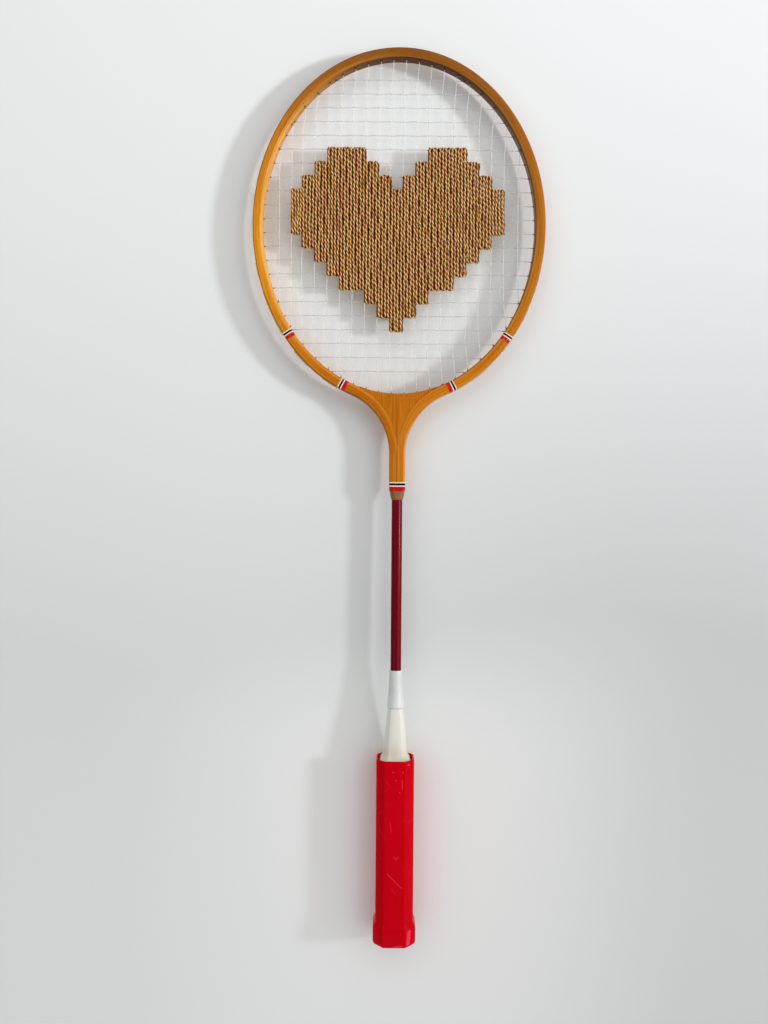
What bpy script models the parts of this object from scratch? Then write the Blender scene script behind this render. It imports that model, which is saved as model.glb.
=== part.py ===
"""A wooden badminton racket, hanging head up with its front towards -Y.

The hoop is bent from three plies whose legs run down into the neck, with a wedge between
them. It is drilled all round, and two strings are laced through the holes. A heart is wound
on the strings in columns of yarn. A steel shaft joins the neck to the handle. The origin is
where the inside of the hoop rests on whatever the racket hangs from.
"""

import math

import bmesh
import bpy
from mathutils import Matrix, Vector

MM = 0.001

# The inside of the head is two half ellipses that share the widest line
HEAD_INSIDE_WIDTH = 203.4 * MM
HEAD_ABOVE_WIDEST = 124.5 * MM
HEAD_BELOW_WIDEST = 126.0 * MM

# The hoop and its legs
HOOP_THICKNESS = 7.6 * MM
HOOP_DEPTH = 9.5 * MM
HOOP_CHAMFER = 0.8 * MM
PLY_GAP = 0.3 * MM
PLY_NAMES = ("hoop_outer_ply", "hoop_middle_ply", "hoop_inner_ply")
SHOULDER_RADIUS = 48.4 * MM
NECK_WIDTH = 12.0 * MM
NECK_LENGTH = 34.5 * MM
NECK_TAPER_LENGTH = 8.0 * MM
NECK_END_WIDTH = 8.9 * MM
NECK_END_CHAMFER = 0.4 * MM
WEDGE_EDGE = 0.3 * MM
WEDGE_TIP = 0.4 * MM

# The steel shaft, with a thinner spigot in the neck
SHAFT_DIAMETER = 8.0 * MM
SHAFT_WALL = 1.0 * MM
SHAFT_SHOWING = 127.4 * MM
SHAFT_IN_CORE = 60.0 * MM
SPIGOT_DIAMETER = 6.0 * MM
SPIGOT_LENGTH = 32.0 * MM
FIT = 0.3 * MM

# The two mouldings above the grip
COLLAR_LENGTH = 28.0 * MM
COLLAR_TOP_WIDTH = 9.6 * MM
COLLAR_BOTTOM_WIDTH = 12.8 * MM
CONE_SHOWING = 37.0 * MM
CONE_TOP_WIDTH = 12.2 * MM
CONE_WAIST_WIDTH = 19.0 * MM
CONE_FLARE_LENGTH = 6.0 * MM
CONE_SKIRT_LENGTH = 4.0 * MM

# The grip is an octagon with broad front, back and sides and narrow corners
GRIP_WIDTH = 28.1 * MM
GRIP_DEPTH = 27.4 * MM
GRIP_CORNER = 6.1 * MM
GRIP_LENGTH = 137.0 * MM
SLEEVE_WALL = 1.4 * MM
SLEEVE_END_WALL = 3.0 * MM
RIM_ROUNDING = 0.6 * MM
SKIRT_CLEARANCE = 1.0 * MM
BUTT_FLARE = 1.8 * MM
BUTT_FLARE_START = 20.0 * MM
BUTT_FLARE_MIDDLE = 15.5 * MM
BUTT_FLARE_END = 11.5 * MM
BUTT_CHAMFER = 2.2 * MM

# The strings and their holes
STRING_DIAMETER = 0.8 * MM
MAIN_PITCH = 9.45 * MM
MAIN_EDGE = 11.0 * MM
CROSS_PITCH = 10.4 * MM
FIRST_CROSS = 15.1 * MM
LAST_CROSS_EDGE = 15.0 * MM
WEAVE_CLEARANCE = 0.3 * MM
HOLE_DIAMETER = 1.8 * MM
HOLE_STAGGER = 1.2 * MM
HOLE_SIDES = 5
BEND_INSIDE = 0.6 * MM
LOOP_OUTSIDE = 0.75 * MM
LOOP_STEP = 7.0 * MM
SETTLE_LENGTH = 7.0 * MM
THROAT_EXIT = 10.5 * MM
THROAT_EXIT_PITCH = 7.0 * MM

# The yarn heart: each column is one winding that fills the room between two main strings.
# For each column, counted out from the middle one, these are the counts of cross strings
# above the one that it hangs from and above the one that it ends at
YARN_DIAMETER = 1.9 * MM
YARN_CLEARANCE = 0.28 * MM
YARN_SLACK = 0.4 * MM
YARN_STRANDS = 4
HEART_COUNTS = ((8, 18), (7, 17), (6, 16), (5, 15), (5, 15), (5, 14), (6, 13), (7, 12), (8, 11))

# How finely the curves are stepped
OVAL_STEPS = 28
SHOULDER_STEPS = 7
ROUND_SIDES = 24
BORE_SIDES = 16

HEAD_HALF_WIDTH = HEAD_INSIDE_WIDTH / 2
NECK_HALF_WIDTH = NECK_WIDTH / 2
HALF_DEPTH = HOOP_DEPTH / 2
SEAM_HALF_GAP = PLY_GAP / 2
STRING_RADIUS = STRING_DIAMETER / 2


def solve(value, low, high):
    """Where value(x) passes through zero between low and high."""
    rising = value(high) > value(low)
    for _ in range(60):
        middle = (low + high) / 2
        if (value(middle) > 0) == rising:
            high = middle
        else:
            low = middle
    return (low + high) / 2


def oval_direction(turn):
    """The point and outward normal of the head's inside, turned clockwise from the top."""
    half_height = HEAD_ABOVE_WIDEST if math.cos(turn) > 0 else HEAD_BELOW_WIDEST
    point = Vector((HEAD_HALF_WIDTH * math.sin(turn), half_height * math.cos(turn)))
    normal = Vector((math.sin(turn) / HEAD_HALF_WIDTH, math.cos(turn) / half_height))
    return point, normal.normalized()


def oval_place(turn, depth):
    """(x, z) at a depth under the hoop's outside, where the hoop follows the oval."""
    point, normal = oval_direction(turn)
    return point + normal * (HOOP_THICKNESS - depth) + Vector((0, WIDEST_HEIGHT))


# The shoulder is an arc that touches the hoop's outside and the side of the neck
WIDEST_HEIGHT = 0.0
SHOULDER_X = NECK_HALF_WIDTH + SHOULDER_RADIUS
SHOULDER_TURN = solve(
    lambda turn: oval_place(turn, -SHOULDER_RADIUS).x - SHOULDER_X, math.pi / 2, math.pi
)

# The facet at the very top lies level with the origin, which is where the racket hangs
FIRST_TURN = SHOULDER_TURN * 0.5 / (OVAL_STEPS + 0.5)
WIDEST_HEIGHT = -HEAD_ABOVE_WIDEST * math.cos(FIRST_TURN)
SHOULDER_CENTRE = oval_place(SHOULDER_TURN, -SHOULDER_RADIUS)
SHOULDER_ANGLE = math.atan2(
    oval_place(SHOULDER_TURN, 0).y - SHOULDER_CENTRE.y,
    SHOULDER_X - oval_place(SHOULDER_TURN, 0).x,
)
HEAD_BOTTOM = WIDEST_HEIGHT - HEAD_BELOW_WIDEST

# Heights down the racket
NECK_END = SHOULDER_CENTRE.y - NECK_LENGTH
COLLAR_TOP = NECK_END - SHAFT_SHOWING
CONE_TOP = COLLAR_TOP - COLLAR_LENGTH
SLEEVE_RIM = CONE_TOP - CONE_SHOWING
CONE_BOTTOM = SLEEVE_RIM - CONE_SKIRT_LENGTH
CORE_TOP = CONE_BOTTOM - FIT
BUTT = SLEEVE_RIM - GRIP_LENGTH


def hoop_place(way, depth):
    """(x, z) on the right half of the hoop, at a depth under its outside.

    The way runs from 0 at the top to 1 at the shoulder, 2 at the neck and 3 at the neck's end.
    A negative way is the same place on the left half.
    """
    if way < 0:
        place = hoop_place(-way, depth)
        return Vector((-place.x, place.y))
    if way <= 1:
        return oval_place(way * SHOULDER_TURN, depth)
    if way <= 2:
        angle = (2 - way) * SHOULDER_ANGLE
        reach = SHOULDER_RADIUS + depth
        return SHOULDER_CENTRE + Vector((-reach * math.cos(angle), reach * math.sin(angle)))
    return Vector((NECK_HALF_WIDTH - depth, SHOULDER_CENTRE.y - (way - 2) * NECK_LENGTH))


def leg_thickness(way):
    """The hoop's thickness, which tapers round the shoulder until the legs meet at the seam."""
    at_neck = NECK_HALF_WIDTH - SEAM_HALF_GAP
    share = min(max(abs(way) - 1, 0), 1)
    return HOOP_THICKNESS + (at_neck - HOOP_THICKNESS) * share


def finish(name, mesh, material):
    """Puts a mesh into the scene as one named object."""
    made = bpy.data.objects.new(name, mesh)
    bpy.context.scene.collection.objects.link(made)
    mesh.materials.append(material)
    return made


def solid(name, rings, closed=False):
    """The mesh through a row of rings of points, with its ends capped or joined to each other."""
    shape = bmesh.new()
    rows = [[shape.verts.new(point) for point in ring] for ring in rings]
    pairs = list(zip(rows, rows[1:]))
    if closed:
        pairs.append((rows[-1], rows[0]))
    else:
        shape.faces.new(rows[0])
        shape.faces.new(rows[-1])
    for first, second in pairs:
        for corner in range(len(first)):
            after = (corner + 1) % len(first)
            shape.faces.new((first[corner], first[after], second[after], second[corner]))
    bmesh.ops.recalc_face_normals(shape, faces=shape.faces)
    mesh = bpy.data.meshes.new(name)
    shape.to_mesh(mesh)
    shape.free()
    return mesh


def shade_round(mesh, sharpest=35):
    mesh.shade_smooth()
    mesh.set_sharp_from_angle(angle=math.radians(sharpest))


def circle(radius, height, sides=ROUND_SIDES):
    """A ring of points round the racket's axis."""
    turns = [2 * math.pi * side / sides for side in range(sides)]
    return [(radius * math.cos(turn), radius * math.sin(turn), height) for turn in turns]


def octagon(width, depth, corner, height, per_side=1):
    """A ring of points round an octagon whose four corners are cut by the given amount."""
    right, back = width / 2, depth / 2
    corners = [
        (right, -back + corner),
        (right, back - corner),
        (right - corner, back),
        (-right + corner, back),
        (-right, back - corner),
        (-right, -back + corner),
        (-right + corner, -back),
        (right - corner, -back),
    ]
    ring = []
    for (x, y), (next_x, next_y) in zip(corners, corners[1:] + corners[:1]):
        for step in range(per_side):
            share = step / per_side
            ring.append((x + (next_x - x) * share, y + (next_y - y) * share, height))
    return ring


def round_as(ring, radius):
    """A circle whose points lie in the same directions from the axis as those of a ring."""
    points = []
    for x, y, z in ring:
        turn = math.atan2(y, x)
        points.append((radius * math.cos(turn), radius * math.sin(turn), z))
    return points


def inset_octagon(inset, height, per_side=1):
    """The grip's octagon, drawn in on every side by the same distance."""
    corner = GRIP_CORNER - inset * (2 - math.sqrt(2))
    return octagon(GRIP_WIDTH - 2 * inset, GRIP_DEPTH - 2 * inset, corner, height, per_side)


def paint(name, colour, roughness, metallic=0.0):
    """A plain material, whose colour is given as the eye sees it, from 0 to 255."""
    material = bpy.data.materials.new(name)
    material.use_nodes = True
    shader = material.node_tree.nodes["Principled BSDF"]
    linear = [(value / 255) ** 2.2 for value in colour]
    shader.inputs["Base Color"].default_value = (*linear, 1)
    shader.inputs["Roughness"].default_value = roughness
    shader.inputs["Metallic"].default_value = metallic
    return material


def cutter(name, mesh):
    """A shape that only cuts, left out of renders."""
    made = bpy.data.objects.new(name, mesh)
    bpy.context.scene.collection.objects.link(made)
    made.hide_render = True
    made.display_type = "WIRE"
    return made


def cut(piece, *cutters):
    for tool in cutters:
        boolean = piece.modifiers.new(tool.name, "BOOLEAN")
        boolean.operation = "DIFFERENCE"
        boolean.object = tool


class StringEnd:
    """Where a string meets the hoop: the bend inside it, and the turn outside it."""

    def __init__(self, bend, way, stagger):
        outside = hoop_place(way, -LOOP_OUTSIDE)
        self.way = way
        self.bend = Vector((bend.x, stagger, bend.y))
        self.outside = Vector((outside.x, stagger, outside.y))

    def mirrored(self):
        bend = Vector((-self.bend.x, self.bend.z))
        return StringEnd(bend, -self.way, self.bend.y)

    def loop_to(self, other):
        """The points along the hoop's outside from this hole to another."""
        length = (other.outside - self.outside).length
        steps = max(2, math.ceil(length / LOOP_STEP))
        points = []
        for step in range(1, steps):
            way = self.way + (other.way - self.way) * step / steps
            place = hoop_place(way, -LOOP_OUTSIDE)
            points.append(Vector((place.x, self.outside.y, place.y)))
        return [self.outside, *points, other.outside]


def bend_place(turn):
    return oval_place(turn, HOOP_THICKNESS + BEND_INSIDE)


def main_ends(number):
    """The top and bottom ends of the main string that lies this many steps right of the middle."""
    x = (number + 0.5) * MAIN_PITCH
    upper = solve(lambda turn: bend_place(turn).x - x, 0, math.pi / 2)
    lower = solve(lambda turn: bend_place(turn).x - x, math.pi / 2, math.pi)
    way = lower / SHOULDER_TURN
    # Over the throat the holes slant out through the legs, to end beside the neck
    exit_x = THROAT_EXIT + number * THROAT_EXIT_PITCH
    if way > 1:
        way = solve(lambda place: hoop_place(place, 0).x - exit_x, 1, 2)
    top = StringEnd(bend_place(upper), upper / SHOULDER_TURN, -HOLE_STAGGER)
    bottom = StringEnd(bend_place(lower), way, -HOLE_STAGGER)
    return top, bottom


def cross_end(height):
    """The right end of the cross string at a height."""
    turn = solve(lambda turn: bend_place(turn).y - height, 0, math.pi)
    return StringEnd(bend_place(turn), turn / SHOULDER_TURN, HOLE_STAGGER)


def lacing():
    """(mains, crosses): each string run's two ends, from left to right and from the top down."""
    count = int((HEAD_HALF_WIDTH - MAIN_EDGE) / MAIN_PITCH + 0.5)
    right = [main_ends(number) for number in range(count)]
    left = [(top.mirrored(), bottom.mirrored()) for top, bottom in reversed(right)]
    room = -HEAD_BOTTOM - LAST_CROSS_EDGE - FIRST_CROSS
    rows = int(room / CROSS_PITCH) + 1
    ends = [cross_end(-FIRST_CROSS - row * CROSS_PITCH) for row in range(rows)]
    return left + right, [(end.mirrored(), end) for end in ends]


def settled(distance):
    """0 at a string's hole, rising to 1 where the string has reached the middle of the bed."""
    return min(max(distance / SETTLE_LENGTH, 0), 1)


def main_offset(main, height):
    """How far forward or back a main string lies at a height."""
    top, bottom = main
    nearest = min(top.bend.z - height, height - bottom.bend.z)
    return -HOLE_STAGGER * (1 - settled(nearest))


def main_run(main):
    """The points of one main string inside the head, from the top down."""
    top, bottom = main
    x = top.bend.x
    points = [top.bend, Vector((x, 0, top.bend.z - SETTLE_LENGTH))]
    return points + [Vector((x, 0, bottom.bend.z + SETTLE_LENGTH)), bottom.bend]


def cross_run(row, cross, mains):
    """The points of one cross string inside the head, woven over and under the mains."""
    left, right = cross
    height = left.bend.z
    spread = STRING_DIAMETER + WEAVE_CLEARANCE
    points = [left.bend]
    for column, main in enumerate(mains):
        x = main[0].bend.x
        room = right.bend.x - abs(x)
        above = main[0].bend.z - height
        below = height - main[1].bend.z
        if min(room, above, below) < STRING_DIAMETER:
            continue
        near_hole = min(room, above, below) < SETTLE_LENGTH
        if near_hole:
            own = HOLE_STAGGER * (1 - settled(room))
            y = max(main_offset(main, height) + spread, own)
        else:
            y = spread if (row + column) % 2 else -spread
        points.append(Vector((x, y, height)))
    return points + [right.bend]


def laced(runs, ends):
    """One string's points: each run in turn, joined by loops outside the hoop.

    Each end is a pair of the hole where a run starts and the hole where it stops.
    """
    half_way = (ends[0][0].bend + ends[0][0].outside) / 2
    points = [half_way]
    for number, (run, (start, stop)) in enumerate(zip(runs, ends)):
        points += run
        if number + 1 < len(runs):
            points += stop.loop_to(ends[number + 1][0])
        else:
            points.append((stop.bend + stop.outside) / 2)
    return points


def tube(name, points, diameter, material):
    """A string or a yarn as one unbroken tube through its points."""
    curve = bpy.data.curves.new(name, "CURVE")
    curve.dimensions = "3D"
    curve.bevel_depth = diameter / 2
    curve.bevel_resolution = 0
    curve.use_fill_caps = True
    line = curve.splines.new("POLY")
    line.points.add(len(points) - 1)
    for point, place in zip(line.points, points):
        point.co = (*place, 1)
    made = bpy.data.objects.new(name, curve)
    bpy.context.scene.collection.objects.link(made)
    curve.materials.append(material)
    return made


def build_strings(mains, crosses, material):
    runs = []
    ends = []
    for number, main in enumerate(mains):
        downwards = number % 2 == 0
        run = main_run(main)
        runs.append(run if downwards else run[::-1])
        ends.append(main if downwards else main[::-1])
    tube("main_string", laced(runs, ends), STRING_DIAMETER, material)
    runs = []
    ends = []
    for row, cross in enumerate(crosses):
        rightwards = row % 2 == 0
        run = cross_run(row, cross, mains)
        runs.append(run if rightwards else run[::-1])
        ends.append(cross if rightwards else cross[::-1])
    tube("cross_string", laced(runs, ends), STRING_DIAMETER, material)


def hole_cutter(mains, crosses):
    """One mesh of rods, one for each end of each string run."""
    shape = bmesh.new()
    for pair in mains + crosses:
        for end in pair:
            along = end.outside - end.bend
            middle = (end.outside + end.bend) / 2
            turn = along.to_track_quat("Z", "Y").to_matrix().to_4x4()
            bmesh.ops.create_cone(
                shape,
                cap_ends=True,
                segments=HOLE_SIDES,
                radius1=HOLE_DIAMETER / 2,
                radius2=HOLE_DIAMETER / 2,
                depth=along.length + HOLE_DIAMETER,
                matrix=Matrix.Translation(middle) @ turn,
            )
    mesh = bpy.data.meshes.new("string_holes")
    shape.to_mesh(mesh)
    shape.free()
    return cutter("string_holes", mesh)


def hoop_ways():
    """The steps along the hoop, from the left end of the neck over the top to the right end."""
    oval = [(step + 0.5) / (OVAL_STEPS + 0.5) for step in range(OVAL_STEPS + 1)]
    shoulder = [1 + (step + 1) / SHOULDER_STEPS for step in range(SHOULDER_STEPS)]
    right = oval + shoulder + [3]
    return [-way for way in reversed(right)] + right


def ply_section(number, way):
    """A ply's outline as (depth, y): the first and last plies have chamfered outer edges."""
    count = len(PLY_NAMES)
    thickness = (leg_thickness(way) - (count - 1) * PLY_GAP) / count
    near = number * (thickness + PLY_GAP)
    far = near + thickness
    slope = min(HOOP_CHAMFER, thickness / 2)
    if number == 0:
        front = [(near, -HALF_DEPTH + slope), (near + slope, -HALF_DEPTH), (far, -HALF_DEPTH)]
    elif number == count - 1:
        front = [(near, -HALF_DEPTH), (far - slope, -HALF_DEPTH), (far, -HALF_DEPTH + slope)]
    else:
        front = [(near, -HALF_DEPTH), (far, -HALF_DEPTH)]
    return front + [(depth, -y) for depth, y in reversed(front)]


def build_plies(materials, cutters):
    for number, name in enumerate(PLY_NAMES):
        rings = []
        for way in hoop_ways():
            ring = []
            for depth, y in ply_section(number, way):
                place = hoop_place(way, depth)
                ring.append((place.x, y, place.y))
            rings.append(ring)
        mesh = solid(name, rings)
        ply = finish(name, mesh, materials[number])
        shade_round(mesh)
        cut(ply, *cutters)


def wedge_side(way):
    """The wedge's side, a clearance inside the leg."""
    return hoop_place(way, leg_thickness(way) + PLY_GAP)


def head_floor(x):
    """The height of the inside of the head, below its widest line."""
    return WIDEST_HEIGHT - HEAD_BELOW_WIDEST * math.sqrt(1 - (x / HEAD_HALF_WIDTH) ** 2)


def build_wedge(material, cutters):
    """The block between the legs, whose top closes the inside of the head."""

    def side_height(way):
        place = wedge_side(way)
        return head_floor(place.x) - place.y

    start = solve(lambda way: side_height(way) - WEDGE_EDGE, 1, 1.5)
    stop = solve(lambda way: wedge_side(way).x - WEDGE_TIP / 2, start, 2)
    ways = [start + (stop - start) * step / SHOULDER_STEPS for step in range(SHOULDER_STEPS + 1)]
    side = [wedge_side(way) for way in ways]
    across = [side[0].x * (1 - step / SHOULDER_STEPS) for step in range(SHOULDER_STEPS + 1)]
    top = [Vector((x, head_floor(x))) for x in across]
    right = list(reversed(side)) + top
    outline = right + [Vector((-place.x, place.y)) for place in reversed(right[:-1])]
    rings = [[(place.x, y, place.y) for place in outline] for y in (-HALF_DEPTH, HALF_DEPTH)]
    wedge = finish("throat_wedge", solid("throat_wedge", rings), material)
    cut(wedge, *cutters)


def neck_cutters():
    """The bore for the shaft's spigot, and the cone that the neck's end is turned to."""
    radius = SPIGOT_DIAMETER / 2 + FIT
    below = NECK_END - FIT
    above = NECK_END + SPIGOT_LENGTH + FIT
    rings = [circle(radius, height, BORE_SIDES) for height in (below, above)]
    bore = cutter("spigot_bore", solid("spigot_bore", rings))
    slope = (NECK_WIDTH - NECK_END_WIDTH) / 2 / NECK_TAPER_LENGTH
    full = math.hypot(NECK_HALF_WIDTH, HALF_DEPTH) + FIT
    end_radius = NECK_END_WIDTH / 2
    top = NECK_END + (full - end_radius) / slope
    profile = [
        (end_radius - NECK_END_CHAMFER - FIT / 2, NECK_END - FIT),
        (end_radius + slope * 2 * NECK_END_CHAMFER, NECK_END + 2 * NECK_END_CHAMFER),
        (full, top),
        (full + NECK_WIDTH, top),
        (full + NECK_WIDTH, NECK_END - FIT),
    ]
    rings = [circle(radius, height, BORE_SIDES) for radius, height in profile]
    taper = cutter("neck_taper", solid("neck_taper", rings, closed=True))
    return [bore, taper]


def build_shaft(material):
    """An open steel tube, drawn down to a spigot where it enters the neck."""
    outer = SHAFT_DIAMETER / 2
    spigot = SPIGOT_DIAMETER / 2
    shoulder = NECK_END - FIT
    profile = [
        (spigot, NECK_END + SPIGOT_LENGTH),
        (spigot, shoulder),
        (outer - SHAFT_WALL / 2, shoulder),
        (outer, shoulder - SHAFT_WALL / 2),
        (outer, CORE_TOP - SHAFT_IN_CORE),
        (outer - SHAFT_WALL, CORE_TOP - SHAFT_IN_CORE),
        (outer - SHAFT_WALL, shoulder - 3 * SHAFT_WALL),
        (spigot - SHAFT_WALL, shoulder - SHAFT_WALL),
        (spigot - SHAFT_WALL, NECK_END + SPIGOT_LENGTH),
    ]
    rings = [circle(radius, height) for radius, height in profile]
    mesh = solid("shaft", rings, closed=True)
    finish("shaft", mesh, material)
    shade_round(mesh)


def build_collar(material):
    """The slim moulding round the shaft, straight at the top and flared to its lip."""
    bore = SHAFT_DIAMETER / 2 + FIT
    top = COLLAR_TOP_WIDTH / 2
    bottom = COLLAR_BOTTOM_WIDTH / 2
    profile = [
        (bore, COLLAR_TOP),
        (top, COLLAR_TOP),
        (top + 0.2 * (bottom - top), COLLAR_TOP - 0.43 * COLLAR_LENGTH),
        (top + 0.68 * (bottom - top), COLLAR_TOP - 0.75 * COLLAR_LENGTH),
        (bottom, CONE_TOP + 0.04 * COLLAR_LENGTH),
        (bottom, CONE_TOP + FIT),
        (bore, CONE_TOP + FIT),
    ]
    rings = [circle(radius, height) for radius, height in profile]
    mesh = solid("upper_collar", rings, closed=True)
    finish("upper_collar", mesh, material)
    shade_round(mesh)


def build_cone(material):
    """The moulding that spreads from the shaft to an octagonal skirt inside the sleeve."""
    per_side = ROUND_SIDES // 8
    inset = SLEEVE_WALL + SKIRT_CLEARANCE
    skirt_top = SLEEVE_RIM + FIT
    flare_top = skirt_top + CONE_FLARE_LENGTH
    waist = CONE_WAIST_WIDTH / 2
    bore = SHAFT_DIAMETER / 2 + FIT

    def ring(height, radius):
        return round_as(inset_octagon(inset, height, per_side), radius)

    middle = (CONE_TOP + flare_top) / 2
    half_flare = inset_octagon(inset, skirt_top + 0.3 * CONE_FLARE_LENGTH, per_side)
    flare_round = round_as(half_flare, waist + 0.3 * CONE_FLARE_LENGTH)
    half_flare = [
        tuple((Vector(sharp) + Vector(smooth)) / 2)
        for sharp, smooth in zip(half_flare, flare_round)
    ]
    rings = [
        ring(CONE_TOP, bore),
        ring(CONE_TOP, CONE_TOP_WIDTH / 2),
        ring(middle, (CONE_TOP_WIDTH / 2 + waist) / 2),
        ring(flare_top, waist),
        half_flare,
        inset_octagon(inset, skirt_top, per_side),
        inset_octagon(inset, CONE_BOTTOM, per_side),
        ring(CONE_BOTTOM, bore),
    ]
    mesh = solid("lower_cone", rings, closed=True)
    finish("lower_cone", mesh, material)
    shade_round(mesh)


def build_core(material):
    """The wooden core of the handle, bored for the shaft."""
    per_side = ROUND_SIDES // 8
    inset = SLEEVE_WALL + FIT
    bore = SHAFT_DIAMETER / 2 + FIT
    bore_bottom = CORE_TOP - SHAFT_IN_CORE - FIT
    core_bottom = BUTT + SLEEVE_END_WALL + FIT
    rings = [
        round_as(inset_octagon(inset, bore_bottom, per_side), bore),
        round_as(inset_octagon(inset, CORE_TOP, per_side), bore),
        inset_octagon(inset, CORE_TOP, per_side),
        inset_octagon(inset, core_bottom, per_side),
    ]
    finish("handle_core", solid("handle_core", rings), material)


def build_sleeve(material):
    """The moulded grip: a thin open mouth round the cone, and a flared, closed butt."""

    def outer(height, grow=0.0):
        return inset_octagon(-grow, height)

    rings = [
        inset_octagon(SLEEVE_WALL, BUTT + SLEEVE_END_WALL),
        inset_octagon(SLEEVE_WALL, SLEEVE_RIM - RIM_ROUNDING),
        inset_octagon(SLEEVE_WALL - RIM_ROUNDING / 2, SLEEVE_RIM),
        outer(SLEEVE_RIM, -RIM_ROUNDING / 2),
        outer(SLEEVE_RIM - RIM_ROUNDING),
        outer(BUTT + BUTT_FLARE_START),
        outer(BUTT + BUTT_FLARE_MIDDLE, 0.55 * BUTT_FLARE),
        outer(BUTT + BUTT_FLARE_END, BUTT_FLARE),
        outer(BUTT + BUTT_CHAMFER, BUTT_FLARE),
        outer(BUTT, BUTT_FLARE - BUTT_CHAMFER),
    ]
    finish("grip_sleeve", solid("grip_sleeve", rings), material)


def winding_points(middle_x, top, bottom):
    """The points of one yarn column, wound round its top and bottom cross strings.

    It comes down the front and goes up the back, with each back strand half way between
    two front ones. It starts and ends over the strings, in front.
    """
    pitch = MAIN_PITCH / YARN_STRANDS
    layer = STRING_DIAMETER * 1.5 + WEAVE_CLEARANCE + YARN_CLEARANCE + YARN_DIAMETER / 2
    crown = STRING_RADIUS + YARN_DIAMETER / 2 + YARN_SLACK
    straight = crown / 3
    shoulder = layer * 0.62
    first_x = middle_x - (YARN_STRANDS - 1) / 2 * pitch
    last_x = middle_x + (YARN_STRANDS - 1) / 2 * pitch
    points = [Vector((first_x - pitch / 8, -shoulder, top + crown))]
    for strand in range(YARN_STRANDS):
        x = first_x + strand * pitch
        points += [Vector((x, -layer, top + straight)), Vector((x, -layer, bottom - straight))]
        if strand + 1 < YARN_STRANDS:
            points += [
                Vector((x + pitch / 8, -shoulder, bottom - crown)),
                Vector((x + pitch * 3 / 8, shoulder, bottom - crown)),
                Vector((x + pitch / 2, layer, bottom - straight)),
                Vector((x + pitch / 2, layer, top + straight)),
                Vector((x + pitch * 5 / 8, shoulder, top + crown)),
                Vector((x + pitch * 7 / 8, -shoulder, top + crown)),
            ]
    return points + [Vector((last_x + pitch / 8, -shoulder, bottom - crown))]


def least_gap(points, diameter):
    """The least distance between turns of a tube, measured between points laid along it."""
    samples = []
    travelled = 0.0
    for start, stop in zip(points, points[1:]):
        length = (stop - start).length
        steps = max(1, math.ceil(length / diameter))
        for step in range(steps):
            share = step / steps
            samples.append((travelled + share * length, start.lerp(stop, share)))
        travelled += length
    least = math.inf
    for number, (along, place) in enumerate(samples):
        for other_along, other in samples[number + 1 :]:
            if other_along - along > 4 * diameter:
                least = min(least, (other - place).length)
    return least - diameter


def build_heart(mains, crosses, material):
    """The yarn columns, each between two neighbouring main strings."""
    gaps = []
    columns = range(1 - len(HEART_COUNTS), len(HEART_COUNTS))
    for number, column in enumerate(columns, start=1):
        upper, lower = HEART_COUNTS[abs(column)]
        if lower >= len(crosses) or abs(column) + 1 > len(mains) / 2:
            continue
        top = crosses[upper][0].bend.z
        bottom = crosses[lower][0].bend.z
        points = winding_points(column * MAIN_PITCH, top, bottom)
        tube(f"yarn_column_{number:02d}", points, YARN_DIAMETER, material)
        gaps.append(least_gap(points, YARN_DIAMETER))
    print(f"least gap between turns of yarn: {min(gaps) / MM:.2f} mm")


def main():
    for old in list(bpy.data.objects):
        bpy.data.objects.remove(old, do_unlink=True)
    outer_wood = paint("honey_ash", (192, 118, 30), 0.35)
    middle_wood = paint("dark_beech", (170, 98, 24), 0.35)
    inner_wood = paint("pale_ash", (205, 135, 45), 0.35)
    wedge_wood = paint("wedge_wood", (186, 110, 22), 0.35)
    core_wood = paint("core_wood", (196, 160, 112), 0.6)
    shaft_paint = paint("burgundy_enamel", (128, 10, 35), 0.25, metallic=0.3)
    cool_white = paint("cool_white_moulding", (216, 221, 222), 0.4)
    ivory = paint("ivory_moulding", (236, 233, 220), 0.4)
    red = paint("red_sleeve", (200, 0, 18), 0.2)
    nylon = paint("clear_nylon", (222, 220, 208), 0.3)
    yarn = paint("gold_twine", (190, 142, 72), 0.85)

    mains, crosses = lacing()
    holes = hole_cutter(mains, crosses)
    build_plies((outer_wood, middle_wood, inner_wood), [holes, *neck_cutters()])
    build_wedge(wedge_wood, [holes])
    build_strings(mains, crosses, nylon)
    build_heart(mains, crosses, yarn)
    build_shaft(shaft_paint)
    build_collar(cool_white)
    build_cone(ivory)
    build_core(core_wood)
    build_sleeve(red)


main()
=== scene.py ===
"""The looks of a wooden badminton racket, hung head up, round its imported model.

Every piece is modelled again at its fine shape: the three bent plies with their string holes,
the wedge, the woven strings, the twisted twine of the heart, the shaft, the two mouldings and
the grip sleeve. Sizes are in metres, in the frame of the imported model: +Z is up, the front
faces -Y, and the origin is where the inside of the hoop hangs.
"""

import math
import random
from functools import partialmethod

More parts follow.
